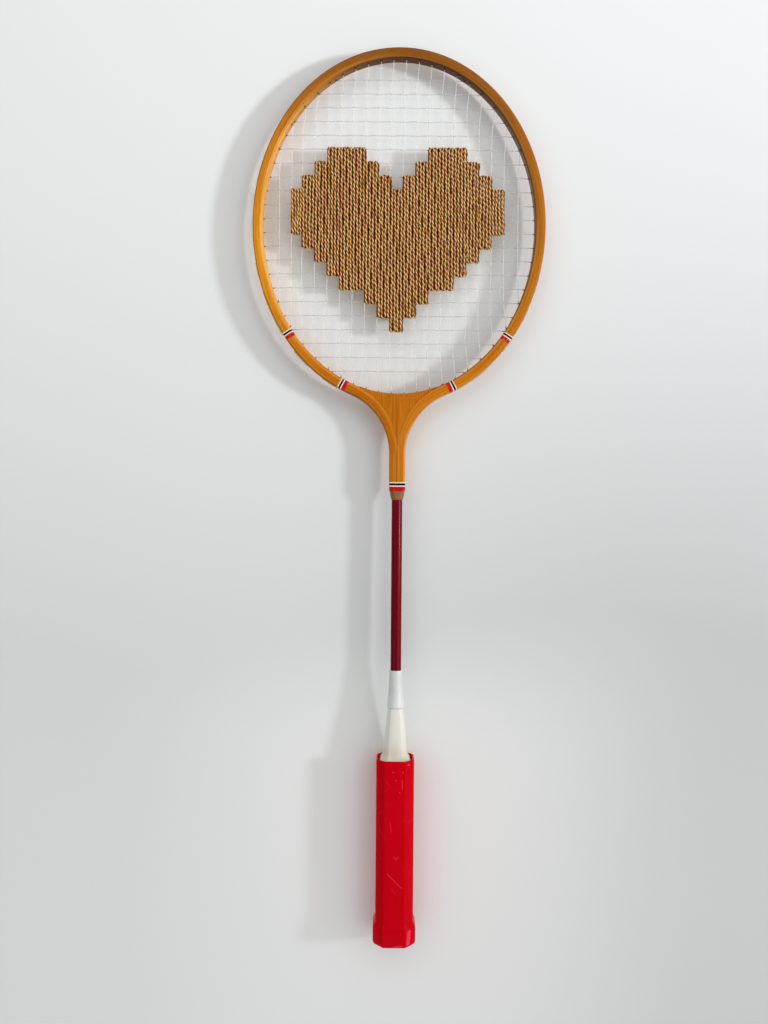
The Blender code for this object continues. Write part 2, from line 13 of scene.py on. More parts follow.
import bpy
import numpy as np
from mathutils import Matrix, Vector


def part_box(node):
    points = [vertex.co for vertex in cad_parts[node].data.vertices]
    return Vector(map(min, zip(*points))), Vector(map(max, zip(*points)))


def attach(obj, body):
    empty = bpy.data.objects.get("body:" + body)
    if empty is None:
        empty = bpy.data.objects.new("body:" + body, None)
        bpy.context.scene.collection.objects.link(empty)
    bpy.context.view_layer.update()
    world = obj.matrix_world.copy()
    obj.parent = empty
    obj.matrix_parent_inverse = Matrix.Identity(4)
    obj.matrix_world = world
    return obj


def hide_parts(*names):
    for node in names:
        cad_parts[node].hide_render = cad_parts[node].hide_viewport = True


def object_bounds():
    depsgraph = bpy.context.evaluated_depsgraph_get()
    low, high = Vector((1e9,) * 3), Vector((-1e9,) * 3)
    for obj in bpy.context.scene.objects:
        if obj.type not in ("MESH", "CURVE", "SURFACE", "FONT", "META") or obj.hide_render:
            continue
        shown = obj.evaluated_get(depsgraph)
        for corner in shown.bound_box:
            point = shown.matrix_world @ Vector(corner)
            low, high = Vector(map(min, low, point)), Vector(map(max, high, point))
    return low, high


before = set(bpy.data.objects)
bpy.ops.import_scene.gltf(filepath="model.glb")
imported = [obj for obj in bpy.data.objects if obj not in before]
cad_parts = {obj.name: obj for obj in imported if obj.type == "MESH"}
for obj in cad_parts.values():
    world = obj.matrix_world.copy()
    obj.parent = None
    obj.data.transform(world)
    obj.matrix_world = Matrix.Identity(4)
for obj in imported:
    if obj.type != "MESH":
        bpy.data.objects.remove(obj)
CAD_LOW, CAD_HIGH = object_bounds()

MM = 0.001

# The inside of the head is two half ellipses that share the widest line
HEAD_HALF_WIDTH = 101.7 * MM
HEAD_ABOVE_WIDEST = 124.5 * MM
HEAD_BELOW_WIDEST = 126.0 * MM
WIDEST_HEIGHT = -124.35 * MM
HEAD_BOTTOM = WIDEST_HEIGHT - HEAD_BELOW_WIDEST

# The hoop, its plies and its legs
HOOP_THICKNESS = 7.6 * MM
HALF_DEPTH = 4.75 * MM
EDGE_ROUNDING = 1.3 * MM
FACE_CROWN = 0.5 * MM
INNER_ROUNDING = 2.2 * MM
GLUE_LINE = 0.07 * MM
GLUE_ROUNDING = 0.12 * MM
SHOULDER_RADIUS = 48.4 * MM
NECK_HALF_WIDTH = 6.0 * MM
NECK_LENGTH = 34.5 * MM
SEAM_HALF_GAP = 0.05 * MM
WEDGE_EDGE = 0.35 * MM
WEDGE_TIP = 0.3 * MM

# The neck's end is turned: its radius at heights above the end
NECK_END_PROFILE = ((0.0, 4.1), (0.9, 4.55), (3.4, 5.05), (6.8, 5.7), (9.2, 7.8))

# The bore in the neck, and the shaft's spigot inside it
BORE_RADIUS = 3.1 * MM
BORE_DEPTH = 32 * MM
SPIGOT_RADIUS = 3.0 * MM
SHAFT_WALL = 1.0 * MM
SHAFT_CLEAR_RADIUS = 4.05 * MM

# The strings and their holes
STRING_RADIUS = 0.4 * MM
STRING_SIDES = 8
STRING_STEP = 0.9 * MM
WAVE_STEP = 1.3 * MM
STRING_WAVE = 0.43 * MM
MAIN_PITCH = 9.45 * MM
MAIN_COUNT = 10
CROSS_PITCH = 10.4 * MM
CROSS_COUNT = 22
FIRST_CROSS = 15.1 * MM
HOLE_RADIUS = 0.85 * MM
HOLE_SIDES = 12
HOLE_REACH = 0.9 * MM
HOLE_STAGGER = 1.2 * MM
BEND_INSIDE = 0.5 * MM
LOOP_OUTSIDE = 0.5 * MM
SETTLE_LENGTH = 7.0 * MM
STRAIGHT_LENGTH = 2.0 * MM
DRAWN_LEFT = 1.9 * MM
DRAWN_LENGTH = 26.0 * MM
THROAT_EXIT = 10.5 * MM
THROAT_EXIT_PITCH = 7.0 * MM

# The heart: for each column, counted out from the middle one, these are the counts of cross
# strings above the one that it hangs from and above the one that it ends at
HEART_COUNTS = ((8, 18), (7, 17), (6, 16), (5, 15), (5, 15), (5, 14), (6, 13), (7, 12), (8, 11))
TWINE_STRANDS = 4
TWINE_PLY_RADIUS = 0.56 * MM
TWINE_TWIST_RADIUS = 0.52 * MM
TWINE_TWIST_PITCH = 7.2 * MM
TWINE_LAYER = 2.05 * MM
TWINE_CROWN = 0.9 * MM
TWINE_TURN_STEPS = 14
TWINE_END_ANGLE = math.radians(150)
TWINE_STEP = 0.5 * MM
TWINE_SIDES = 6

# Painted light and shade along the hoop, partly the wood's own tone, for the two outer plies and
# the inner one: at each length in mm to the right of its top, the levels of red, green and blue
HOOP_TONE_AND_PAINTED_LIGHT = (
    (-360, 0.96, 0.90, 0.80),
    (-300, 1.06, 1.06, 1.10),
    (-200, 1.42, 1.78, 2.60),
    (-120, 1.02, 1.08, 1.30),
    (-60, 0.64, 0.64, 0.80),
    (0, 0.46, 0.46, 0.60),
    (60, 0.52, 0.52, 0.64),
    (120, 0.64, 0.64, 0.70),
    (200, 0.78, 0.78, 0.78),
    (280, 0.94, 0.94, 0.94),
    (360, 1.06, 1.10, 1.20),
)
INNER_TONE_AND_PAINTED_LIGHT = (
    (-360, 0.74, 0.52, 0.16),
    (-300, 0.84, 0.62, 0.30),
    (-250, 1.00, 0.98, 0.95),
    (-200, 1.04, 1.18, 1.90),
    (-120, 0.90, 0.94, 1.20),
    (-60, 0.54, 0.50, 0.46),
    (0, 0.36, 0.31, 0.26),
    (60, 0.38, 0.33, 0.28),
    (120, 0.43, 0.38, 0.32),
    (200, 0.50, 0.46, 0.40),
    (260, 0.74, 0.68, 0.58),
    (300, 0.80, 0.60, 0.28),
    (360, 0.76, 0.54, 0.18),
)

# The varnish's clear coat, and the length in mm that all the shades are spread over
VARNISH_COAT = 0.08
SHADES_LENGTH = 900

# Painted stripe bands: white, black, white and red, from the side away from the throat
# (turn from the top, mm nearer the throat on the left and on the right, wear)
HOOP_BANDS = ((129.6, 0.0, 1.8, 0.9), (156.9, 0.9, 2.3, 0.45))
HOOP_BAND_WIDTH = 6.1 * MM
NECK_BAND_TOP = 316.5 * MM
NECK_BAND_WIDTH = 6.9 * MM
NECK_BAND_WEAR = 0.15

# The grip and its cone, whose radius is given at distances below its top
GRIP_HALF_WIDTH = 14.05 * MM
GRIP_HALF_DEPTH = 13.7 * MM
GRIP_CORNER = 6.1 * MM
CORNER_ROUNDING = 3.2 * MM
SLEEVE_WALL = 1.4 * MM
SLEEVE_END_WALL = 3.0 * MM
SEAT_ROUNDING = 0.8 * MM
BUTT_FLARE = 1.8 * MM
BUTT_INSET = 6.0 * MM
BUTT_ROUNDING = 3.0 * MM
CONE_PROFILE = (
    (0.4, 6.25), (2.0, 6.55), (6.5, 7.2), (12.5, 7.75), (18.5, 8.45), (24.5, 9.05), (33.4, 9.8)
)
CONE_FLARE_LENGTH = 6.0 * MM
CONE_FLARE_TOP = 3.6 * MM
CONE_FLARE = 2.2 * MM
SKIRT_GAP = 1.0 * MM

# Marks on the front of the grip: from (across, height) to (across, height), and how wide
GRIP_MARKS = (
    (9.7, -524.6, 10.1, -525.1, 1.3),
    (-1.8, -529.8, -1.4, -529.9, 0.7),
    (5.6, -529.4, 5.6, -530.4, 0.8),
    (0.4, -536.1, 0.8, -536.0, 0.8),
    (5.1, -535.6, 5.3, -541.9, 0.6),
    (3.3, -544.3, 3.5, -544.9, 0.6),
    (-5.4, -604.4, 5.0, -615.0, 0.45),
    (-0.5, -592.3, 1.4, -594.0, 0.5),
    (1.6, -594.0, 2.4, -592.0, 0.4),
    (-3.6, -566.0, -2.6, -574.0, 0.35),
    (0.6, -657.0, 5.5, -656.6, 0.9),
    (10.9, -647.5, 10.3, -655.5, 3.4),
)

# The sky's light, and how much more comes from the right and from above
SKY_LEVEL = 1.24
SKY_TO_RIGHT = 0.48
SKY_ABOVE = 0.35

# The wall's distance behind the racket's middle at two heights, its top and half its width
WALL_TOP_GAP = 10.9 * MM
WALL_BUTT_GAP = 16.0 * MM
WALL_TOP = 1.6
WALL_REACH = 2.2

# The floor's height and half its width
FLOOR = -2.4
FLOOR_REACH = 2.6

# The camera's place, how far it leans to one side, and its lens and sensor in mm
CAMERA_PLACE = (-9.7 * MM, -640 * MM, -338.8 * MM)
CAMERA_LEAN = math.radians(-0.43)
LENS = 30
SENSOR_HEIGHT = 36

# How finely the curves are stepped
OVAL_STEPS = 120
SHOULDER_STEPS = 36
NECK_STEPS = 20
ROUND_SIDES = 96


# Routes and outlines


def solve(value, low, high):
    """Where value(x) passes through zero between low and high."""
    rising = value(high) > value(low)
    for _ in range(50):
        middle = (low + high) / 2
        if (value(middle) > 0) == rising:
            high = middle
        else:
            low = middle
    return (low + high) / 2


def oval_place(turn, depth):
    """(x, z) at a depth under the hoop's outside, turned clockwise from the top of the oval."""
    half_height = HEAD_ABOVE_WIDEST if math.cos(turn) > 0 else HEAD_BELOW_WIDEST
    inside = Vector((HEAD_HALF_WIDTH * math.sin(turn), half_height * math.cos(turn)))
    outward = Vector((math.sin(turn) / HEAD_HALF_WIDTH, math.cos(turn) / half_height))
    place = inside + outward.normalized() * (HOOP_THICKNESS - depth)
    return place + Vector((0, WIDEST_HEIGHT))


SHOULDER_X = NECK_HALF_WIDTH + SHOULDER_RADIUS
SHOULDER_TURN = solve(
    lambda turn: oval_place(turn, -SHOULDER_RADIUS).x - SHOULDER_X, math.pi / 2, math.pi
)
SHOULDER_CENTRE = oval_place(SHOULDER_TURN, -SHOULDER_RADIUS)
SHOULDER_ANGLE = math.atan2(
    oval_place(SHOULDER_TURN, 0).y - SHOULDER_CENTRE.y,
    SHOULDER_X - oval_place(SHOULDER_TURN, 0).x,
)
NECK_END = SHOULDER_CENTRE.y - NECK_LENGTH


def hoop_place(way, depth):
    """(x, z) on the hoop: 0 is the top, 1 the shoulder, 2 the neck and 3 the neck's end.

    A negative way is the same place on the left half.
    """
    if way < 0:
        place = hoop_place(-way, depth)
        return Vector((-place.x, place.y))
    if way <= 1:
        return oval_place(way * SHOULDER_TURN, depth)
    if way <= 2:
        angle = (2 - way) * SHOULDER_ANGLE
        reach = SHOULDER_RADIUS + depth
        return SHOULDER_CENTRE + Vector((-reach * math.cos(angle), reach * math.sin(angle)))
    return Vector((NECK_HALF_WIDTH - depth, SHOULDER_CENTRE.y - (way - 2) * NECK_LENGTH))


def leg_thickness(way):
    """The hoop's thickness, which tapers round the shoulder until the legs meet at the seam."""
    at_neck = NECK_HALF_WIDTH - SEAM_HALF_GAP
    share = min(max(abs(way) - 1, 0), 1)
    return HOOP_THICKNESS + (at_neck - HOOP_THICKNESS) * share


def half_ways():
    """The steps along the right half of the hoop, from just past the top to the neck's end."""
    ways = [(step + 0.5) / (OVAL_STEPS + 0.5) for step in range(OVAL_STEPS + 1)]
    ways += [1 + (step + 1) / SHOULDER_STEPS for step in range(SHOULDER_STEPS)]
    # The steps close up towards the neck's end, which is turned
    ways += [2 + math.sin((step + 1) / NECK_STEPS * math.pi / 2) for step in range(NECK_STEPS)]
    return ways


def length_table():
    """The length along the middle of the hoop from the top to each of a row of ways."""
    steps = 600
    ways = [3 * step / steps for step in range(steps + 1)]
    places = [hoop_place(way, HOOP_THICKNESS / 2) for way in ways]
    lengths = [0.0]
    for before, after in zip(places, places[1:]):
        lengths.append(lengths[-1] + (after - before).length)
    return ways, lengths


LENGTH_WAYS, LENGTHS = length_table()


def length_along(way):
    """The length along the hoop from its top, negative on the left half."""
    return math.copysign(float(np.interp(abs(way), LENGTH_WAYS, LENGTHS)), way)


# Lengths along the hoop: where the neck begins, and where its stripe band does
NECK_FROM = length_along(2)
NECK_BAND_FROM = NECK_FROM + SHOULDER_CENTRE.y + NECK_BAND_TOP


def resample(points, step):
    """Points at even steps along a path."""
    path = np.array([tuple(point) for point in points], float)
    lengths = np.linalg.norm(np.diff(path, axis=0), axis=1)
    travelled = np.concatenate(([0.0], np.cumsum(lengths)))
    count = max(2, int(round(travelled[-1] / step)) + 1)
    places = np.linspace(0, travelled[-1], count)
    return np.stack([np.interp(places, travelled, path[:, axis]) for axis in range(3)], axis=1)


def even_shares(count, first=0):
    """Even shares of a whole, from the first step of the count up to 1."""
    return [step / count for step in range(first, count + 1)]


def ease(value, low, high):
    """A value's place between low and high, from 0 to 1, with soft ends."""
    share = np.clip((value - low) / (high - low), 0, 1)
    return share * share * (3 - 2 * share)


def smooth(path, passes):
    """A path with its corners eased and its ends kept."""
    for _ in range(passes):
        inner = (path[:-2] + 2 * path[1:-1] + path[2:]) / 4
        path = np.concatenate((path[:1], inner, path[-1:]))
    return path


def directions(path, reference):
    """Two directions across each point of a path that nowhere runs along the reference."""
    tangent = np.gradient(path, axis=0)
    tangent /= np.linalg.norm(tangent, axis=1, keepdims=True)
    first = reference - tangent * (tangent @ reference)[:, None]
    first /= np.linalg.norm(first, axis=1, keepdims=True)
    return first, np.cross(tangent, first)


def circle_ring(radius, height, sides=ROUND_SIDES):
    turns = [2 * math.pi * side / sides for side in range(sides)]
    return [(radius * math.cos(turn), radius * math.sin(turn), height) for turn in turns]


def arc_corner(before, corner, after, radius, steps):
    """The points of an arc that rounds the corner of a flat outline."""
    before, corner, after = Vector(before), Vector(corner), Vector(after)
    to_before = (before - corner).normalized()
    to_after = (after - corner).normalized()
    half = to_before.angle(to_after) / 2
    reach = min(radius / math.tan(half), 0.49 * (before - corner).length)
    reach = min(reach, 0.49 * (after - corner).length)
    start = corner + to_before * reach
    stop = corner + to_after * reach
    points = []
    # A curve with the corner as its handle is close to an arc at these angles
    for share in even_shares(steps):
        rest = 1 - share
        points.append(start * rest**2 + corner * 2 * share * rest + stop * share**2)
    return points


def rounded(outline, radii, steps=5, closed=False):
    """An outline of (across, height) points with each corner rounded by its own radius."""
    points = []
    count = len(outline)
    for number, (corner, radius) in enumerate(zip(outline, radii)):
        at_end = not closed and number in (0, count - 1)
        if radius == 0 or at_end:
            points.append(Vector(corner))
        else:
            after = outline[(number + 1) % count]
            points += arc_corner(outline[number - 1], corner, after, radius, steps)
    return points


# Meshes


def outward(mesh):
    """Turns a closed mesh's faces to point out."""
    places = np.empty(len(mesh.vertices) * 3)
    mesh.vertices.foreach_get("co", places)
    mesh.calc_loop_triangles()
    corners = np.empty(len(mesh.loop_triangles) * 3, int)
    mesh.loop_triangles.foreach_get("vertices", corners)
    first, second, third = places.reshape(-1, 3)[corners.reshape(-1, 3)].transpose(1, 0, 2)
    if np.einsum("ij,ij->i", first, np.cross(second, third)).sum() < 0:
        mesh.flip_normals()


def even_coords(alongs, across, sides):
    """Finish coordinates for rows at these lengths: even steps across, back to the first."""
    steps = across * np.arange(sides + 1) / sides
    return np.stack(np.broadcast_arrays(np.array(alongs)[:, None], steps[None, :]), axis=2)


def closed_rows(rows):
    """Finish coordinates from rows of pairs, each closed by its first pair."""
    return [[*row, row[0]] for row in rows]


def surface(rings, coords, closed=False):
    """(points, faces, finish coordinates) through rows of points.

    Its ends are capped, or joined where it is closed. coords holds each row's finish
    coordinates, along and across, and one more pair than the row has points.
    """
    rings = np.array(rings, float)
    coords = np.array(coords, float)
    rows, sides = rings.shape[:2]
    row = np.repeat(np.arange(rows if closed else rows - 1), sides)
    side = np.tile(np.arange(sides), len(row) // sides)
    next_row = (row + 1) % rows
    corners = ((row, side), (row, side + 1), (next_row, side + 1), (next_row, side))
    faces = np.stack([in_row * sides + at % sides for in_row, at in corners], axis=1).tolist()
    finish = np.stack([coords[in_row, at] for in_row, at in corners], axis=1).reshape(-1, 2)
    if not closed:
        faces.append(list(range(sides))[::-1])
        faces.append(list(range((rows - 1) * sides, rows * sides)))
        finish = np.concatenate((finish, coords[0, :sides][::-1], coords[-1, :sides]))
    return rings.reshape(-1, 3).tolist(), faces, finish


def skin(name, *surfaces):
    """One mesh of closed surfaces."""
    points = []
    faces = []
    for more_points, more_faces, _ in surfaces:
        first = len(points)
        points += more_points
        faces += [[first + corner for corner in face] for face in more_faces]
    mesh = bpy.data.meshes.new(name)
    mesh.from_pydata(points, [], faces)
    finish = np.concatenate([finish for _, _, finish in surfaces])
    mesh.uv_layers.new(name="finish").uv.foreach_set("vector", finish.ravel())
    outward(mesh)
    return mesh


def shade(mesh, sharpest=32):
    mesh.shade_smooth()
    mesh.set_sharp_from_angle(angle=math.radians(sharpest))


def put(name, data):
    """A new object in the scene."""
    made = bpy.data.objects.new(name, data)
    bpy.context.scene.collection.objects.link(made)
    return made


def place_piece(name, mesh, node, material=None):
    """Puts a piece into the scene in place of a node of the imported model."""
    piece = put(name, mesh)
    if material:
        mesh.materials.append(material)
    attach(piece, "root")
    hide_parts(node)


def cut_mesh(mesh, *cutters):
    """A mesh with others cut out of it, whose own materials line the cuts."""
    piece = put("uncut", mesh)
    tools = [put("cutter", cutter) for cutter in cutters]
    for tool in tools:
        boolean = piece.modifiers.new("cut", "BOOLEAN")
        boolean.operation = "DIFFERENCE"
        boolean.solver = "EXACT"
        boolean.material_mode = "TRANSFER"
        boolean.object = tool
    graph = bpy.context.evaluated_depsgraph_get()
    result = bpy.data.meshes.new_from_object(piece.evaluated_get(graph))
    result.name = mesh.name
    for made in (piece, *tools):
        bpy.data.objects.remove(made)
    return result


def turned(name, profile):
    """The mesh of a closed profile of (radius, height) points turned round the shaft's axis."""
    rings = [circle_ring(radius, height) for radius, height in profile]
    heights = [height for _, height in profile]
    coords = even_coords(heights, 2 * math.pi * HALF_DEPTH, ROUND_SIDES)
    mesh = skin(name, surface(rings, coords, closed=True))
    shade(mesh, 40)
    return mesh


def loft(name, sections):
    """The mesh through (height, outline) sections of equal counts, joined at its ends."""
    rings = [[(x, y, height) for x, y in outline] for height, outline in sections]
    coords = even_coords([height for height, _ in sections], 0.1, len(rings[0]))
    mesh = skin(name, surface(rings, coords, closed=True))
    shade(mesh, 40)
    return mesh


def tube_rings(path, radius, sides, reference):
    """Rings round a path that nowhere runs along the reference direction."""
    first, second = directions(path, reference)
    turns = 2 * math.pi * np.arange(sides) / sides
    around = first[:, None] * np.cos(turns)[:, None] + second[:, None] * np.sin(turns)[:, None]
    return path[:, None] + around * radius


def tube_coords(path, radius, sides, start=0.0):
    """Finish coordinates for a tube's rings: the length along it and the way round it."""
    steps = np.linalg.norm(np.diff(path, axis=0), axis=1)
    along = start + np.concatenate(([0.0], np.cumsum(steps)))
    return even_coords(along, 2 * math.pi * radius, sides)


# Shader nodes


class Signal:
    """A number, colour or vector that changes over a surface: one output of a node."""

    def __init__(self, tree, socket):
        self.tree = tree
        self.socket = socket

    def node(self, kind, inputs=(), output=0, **settings):
        """An output of a new node in the same tree."""
        return Signal(self.tree, add(self.tree, kind, inputs, **settings).outputs[output])

    def maths(self, operation, other=0.0):
        return self.node("Math", {0: self, 1: other}, operation=operation)

    __add__ = partialmethod(maths, "ADD")
    __sub__ = partialmethod(maths, "SUBTRACT")
    __mul__ = partialmethod(maths, "MULTIPLY")
    __truediv__ = partialmethod(maths, "DIVIDE")
    __abs__ = partialmethod(maths, "ABSOLUTE")
    largest = partialmethod(maths, "MAXIMUM")
    # These give 1 where the number is above or below a level, and 0 elsewhere
    above = partialmethod(maths, "GREATER_THAN")
    below = partialmethod(maths, "LESS_THAN")

    def __rsub__(self, other):
        return self.node("Math", {0: other, 1: self}, operation="SUBTRACT")

    def clamped(self):
        """The same number, kept from 0 to 1."""
        self.socket.node.use_clamp = True
        return self

    def span(self, low, high, to_low=0.0, to_high=1.0):
        """The place between low and high, smoothed and kept within the target span."""
        inputs = {0: self, 1: low, 2: high, 3: to_low, 4: to_high}
        return self.node("MapRange", inputs, interpolation_type="SMOOTHSTEP")

    def ramp(self, stops, kind="LINEAR"):
        """A colour ramp through (place, colour) stops."""
        made = add(self.tree, "ValToRGB", {0: self})
        made.color_ramp.interpolation = kind
        elements = made.color_ramp.elements
        while len(elements) < len(stops):
            elements.new(0.5)
        for element, (place, tone) in zip(elements, stops):
            element.position = place
            element.color = tone
        return Signal(self.tree, made.outputs[0])

    def between(self, first, second):
        """The colour at this share of the way from one to another."""
        return self.node("Mix", {0: self, 6: first, 7: second}, 2, data_type="RGBA")

    def blend(self, share, other, kind="MIX"):
        """This colour with a share of another over it."""
        inputs = {0: share, 6: self, 7: other}
        return self.node("Mix", inputs, 2, data_type="RGBA", blend_type=kind)

    def part(self, letter):
        return self.node("SeparateXYZ", {0: self}, letter)

    def vector_maths(self, operation, other, output="Vector"):
        return self.node("VectorMath", {0: self, 1: other}, output, operation=operation)

    def scaled(self, size):
        return self.node("VectorMath", {0: self, "Scale": size}, operation="SCALE")

    def stretch(self, scale, offset=(0.0, 0.0, 0.0)):
        """Coordinates times a scale, then moved."""
        inputs = {0: self, 1: scale, 2: offset}
        return self.node("VectorMath", inputs, operation="MULTIPLY_ADD")

    def noise(self, scale=1.0, detail=2.0, roughness=0.5):
        inputs = {"Vector": self, "Scale": scale, "Detail": detail, "Roughness": roughness}
        return self.node("TexNoise", inputs)

    def bumped(self, distance, strength):
        """The normal of a surface that this height raises."""
        inputs = {"Height": self, "Distance": distance, "Strength": strength}
        return self.node("Bump", inputs)

    def effect(self, group, **inputs):
        """The named outputs of a node group that is placed in the same tree."""
        made = add(self.tree, "Group", inputs, node_tree=group)
        return {socket.name: Signal(self.tree, socket) for socket in made.outputs}


def feed(socket, value):
    """Gives a socket a plain value, or links it to a signal."""
    if isinstance(value, Signal):
        value.tree.links.new(value.socket, socket)
    else:
        socket.default_value = value


def connect(sockets, **values):
    """Feeds sockets by their names."""
    for name, value in values.items():
        feed(sockets[name.replace("_", " ")], value)


def add(tree, kind, inputs=(), **settings):
    """One node, with its settings and its inputs."""
    made = tree.nodes.new("ShaderNode" + kind)
    for name, value in settings.items():
        setattr(made, name, value)
    for key, value in dict(inputs).items():
        feed(made.inputs[key], value)
    return made


def coordinates(tree, kind="Object"):
    return Signal(tree, add(tree, "TexCoord").outputs[kind])


def colour(red, green, blue):
    """A colour given as the eye sees it, from 0 to 255."""
    return (*[(value / 255) ** 2.2 for value in (red, green, blue)], 1.0)


def new_group(name, inputs, outputs):
    """An empty node group: (group, its inputs' signals, its outputs' sockets)."""
    group = bpy.data.node_groups.new(name, "ShaderNodeTree")
    for way, sockets in (("INPUT", inputs), ("OUTPUT", outputs)):
        for socket, kind in sockets.items():
            group.interface.new_socket(socket, in_out=way, socket_type="NodeSocket" + kind)
    given = group.nodes.new("NodeGroupInput").outputs
    result = group.nodes.new("NodeGroupOutput").inputs
    return group, {socket: Signal(group, given[socket]) for socket in inputs}, result


def make_wood_grain():
    """Long streaks, fine fibres and short dark pores, along the first coordinate."""
    inputs = {"Vector": "Vector", "Light": "Color", "Dark": "Color", "Pore": "Color"}
    inputs |= {"Streaks": "Float", "Pores": "Float"}
    group, given, result = new_group("wood_grain", inputs, {"Color": "Color", "Height": "Float"})
    vector = given["Vector"]
    wander = vector.stretch((30, 120, 120)).noise(detail=1)
    bent = vector.vector_maths("ADD", vector.node("CombineXYZ", {1: wander * 0.0006}))
    streaks = bent.stretch((22, 720, 420)).noise(detail=3, roughness=0.6)
    fibres = bent.stretch((90, 3200, 2600)).noise()
    patches = vector.stretch((14, 60, 60)).noise(detail=1)
    pores = bent.stretch((420, 2600, 1900)).noise(detail=1).span(0.66, 0.76) * given["Pores"]
    tone = (streaks * 0.62 + fibres * 0.22 + patches * 0.26).span(0.45, 0.65)
    base = (tone * given["Streaks"]).clamped().between(given["Light"], given["Dark"])
    connect(result, Color=base.blend(pores, given["Pore"]), Height=fibres * 0.35 - pores)
    return group


def make_paint_band():
    """One stripe band across a piece, from its start along the first coordinate."""
    inputs = {"Vector": "Vector", "Along": "Float", "Start": "Float", "Width": "Float"}
    inputs |= {"Wear": "Float"}
    group, given, result = new_group("paint_band", inputs, {"Color": "Color", "Mask": "Float"})
    ragged = (given["Vector"].noise(900) - 0.5) * 0.02
    share = ragged + (given["Along"] - given["Start"]) / given["Width"]
    white = colour(238, 226, 210)
    black = colour(12, 8, 8)
    red = colour(190, 12, 26)
    tones = share.ramp([(0.0, white), (0.12, black), (0.36, white), (0.49, red)], "CONSTANT")
    chips = given["Vector"].noise(650, detail=3, roughness=0.65)
    wear = (abs(share - 0.72) * 0.35 + chips).span(0.60, 0.66)
    wear = (wear * given["Wear"]).clamped() * share.above(0.5)
    inside = share.above(0.0) * share.below(1.0)
    connect(
        result,
        Color=tones.blend(wear, colour(225, 120, 95)),
        Mask=inside * (1 - wear).span(0.0, 0.35),
    )
    return group


def make_scuffs():
    """Fine scratches two ways, and small specks where grit has touched."""
    inputs = {"Vector": "Vector", "Size": "Float", "Amount": "Float"}
    group, given, result = new_group("scuffs", inputs, {"Scratches": "Float", "Specks": "Float"})
    sized = given["Vector"].scaled(given["Size"])
    lines = []
    for turn in (0.6, -0.9):
        tilted = sized.node("VectorRotate", {"Vector": sized, "Angle": turn}, rotation_type="Y_AXIS")
        thin = tilted.stretch((0.35, 0.35, 9.0)).noise(detail=1)
        lines.append(thin.span(0.70, 0.74) * tilted.noise(0.8, detail=1).span(0.5, 0.62))
    specks = sized.noise(4.0, detail=1).span(0.74, 0.78)
    connect(
        result,
        Scratches=(lines[0].largest(lines[1]) * given["Amount"]).clamped(),
        Specks=(specks * given["Amount"]).clamped(),
    )
    return group


def make_scratch_line():
    """One mark from a place to another, faded and broken at its edges, as seen from the front."""
    inputs = {"Vector": "Vector", "From": "Vector", "To": "Vector", "Width": "Float"}
    group, given, result = new_group("scratch_line", inputs, {"Mask": "Float"})
    flat = given["Vector"].vector_maths("MULTIPLY", (1, 0, 1))
    offset = flat.vector_maths("SUBTRACT", given["From"])
    reach = given["To"].vector_maths("SUBTRACT", given["From"])
    share = offset.vector_maths("DOT_PRODUCT", reach, "Value")
    share = share / reach.vector_maths("DOT_PRODUCT", reach, "Value")
    distance = offset.vector_maths("DISTANCE", reach.scaled(share.clamped()), "Value")
    width = (given["Vector"].noise(1400) * 1.2 + 0.1) * given["Width"]
    connect(result, Mask=(distance / width).span(0.35, 0.8, 1.0, 0.0))
    return group


WOOD_GRAIN = make_wood_grain()
PAINT_BAND = make_paint_band()
SCUFFS = make_scuffs()
SCRATCH_LINE = make_scratch_line()


def new_material(name, **values):
    """(material, its shader's sockets, place): the values are the same all over the surface."""
    material = bpy.data.materials.new(name)
    material.use_nodes = True
    tree = material.node_tree
    shader = tree.nodes["Principled BSDF"].inputs
    connect(shader, **values)
    return material, shader, coordinates(tree)


def finish_coordinates(place):
    """(vector, along): the finish coordinates with the depth, and the length along the piece."""
    flat = place.node("UVMap", uv_map="finish")
    along = flat.part("X")
    return place.node("CombineXYZ", {0: along, 1: flat.part("Y"), 2: place.part("Y")}), along


def attribute(place, name):
    return place.node("Attribute", output="Fac", attribute_name=name)


# Finishes


def varnished_wood(name, light, dark, streaks, pores, offset, shades=None):
    """Varnished wood. A ply of the hoop has its painted light and shade, bands and bare neck end as
    well.
    """
    material, shader, place = new_material(name, Coat_Roughness=0.16, Specular_IOR_Level=0.12)
    vector, along = finish_coordinates(place)
    grain = place.effect(
        WOOD_GRAIN,
        Vector=vector.stretch((1, 1, 1), offset),
        Light=light,
        Dark=dark,
        Pore=colour(112, 58, 8),
        Streaks=streaks,
        Pores=pores,
    )
    tone = grain["Color"]
    coat = VARNISH_COAT
    if shades:
        tone = wood_tone_and_painted_light(tone, along, vector.part("Y"), shades)
        bare_from = NECK_BAND_FROM + NECK_BAND_WIDTH
        bare = abs(along).span(bare_from - 0.1 * MM, bare_from + 0.1 * MM)
        fibre = grain["Height"].span(-0.2, 0.3)
        tone = tone.blend(bare, fibre.between(colour(98, 62, 36), colour(152, 106, 68)))
        tone = banded(tone, along, place)
        coat = (1 - bare) * coat
    scuffs = place.effect(SCUFFS, Vector=place, Size=260.0, Amount=0.5)
    connect(
        shader,
        Base_Color=tone.blend(scuffs["Specks"], colour(96, 52, 14)),
        Roughness=grain["Height"].span(-0.6, 0.4, 0.5, 0.34),
        Coat_Weight=coat,
        Normal=grain["Height"].bumped(0.06 * MM, 0.5),
    )
    return material


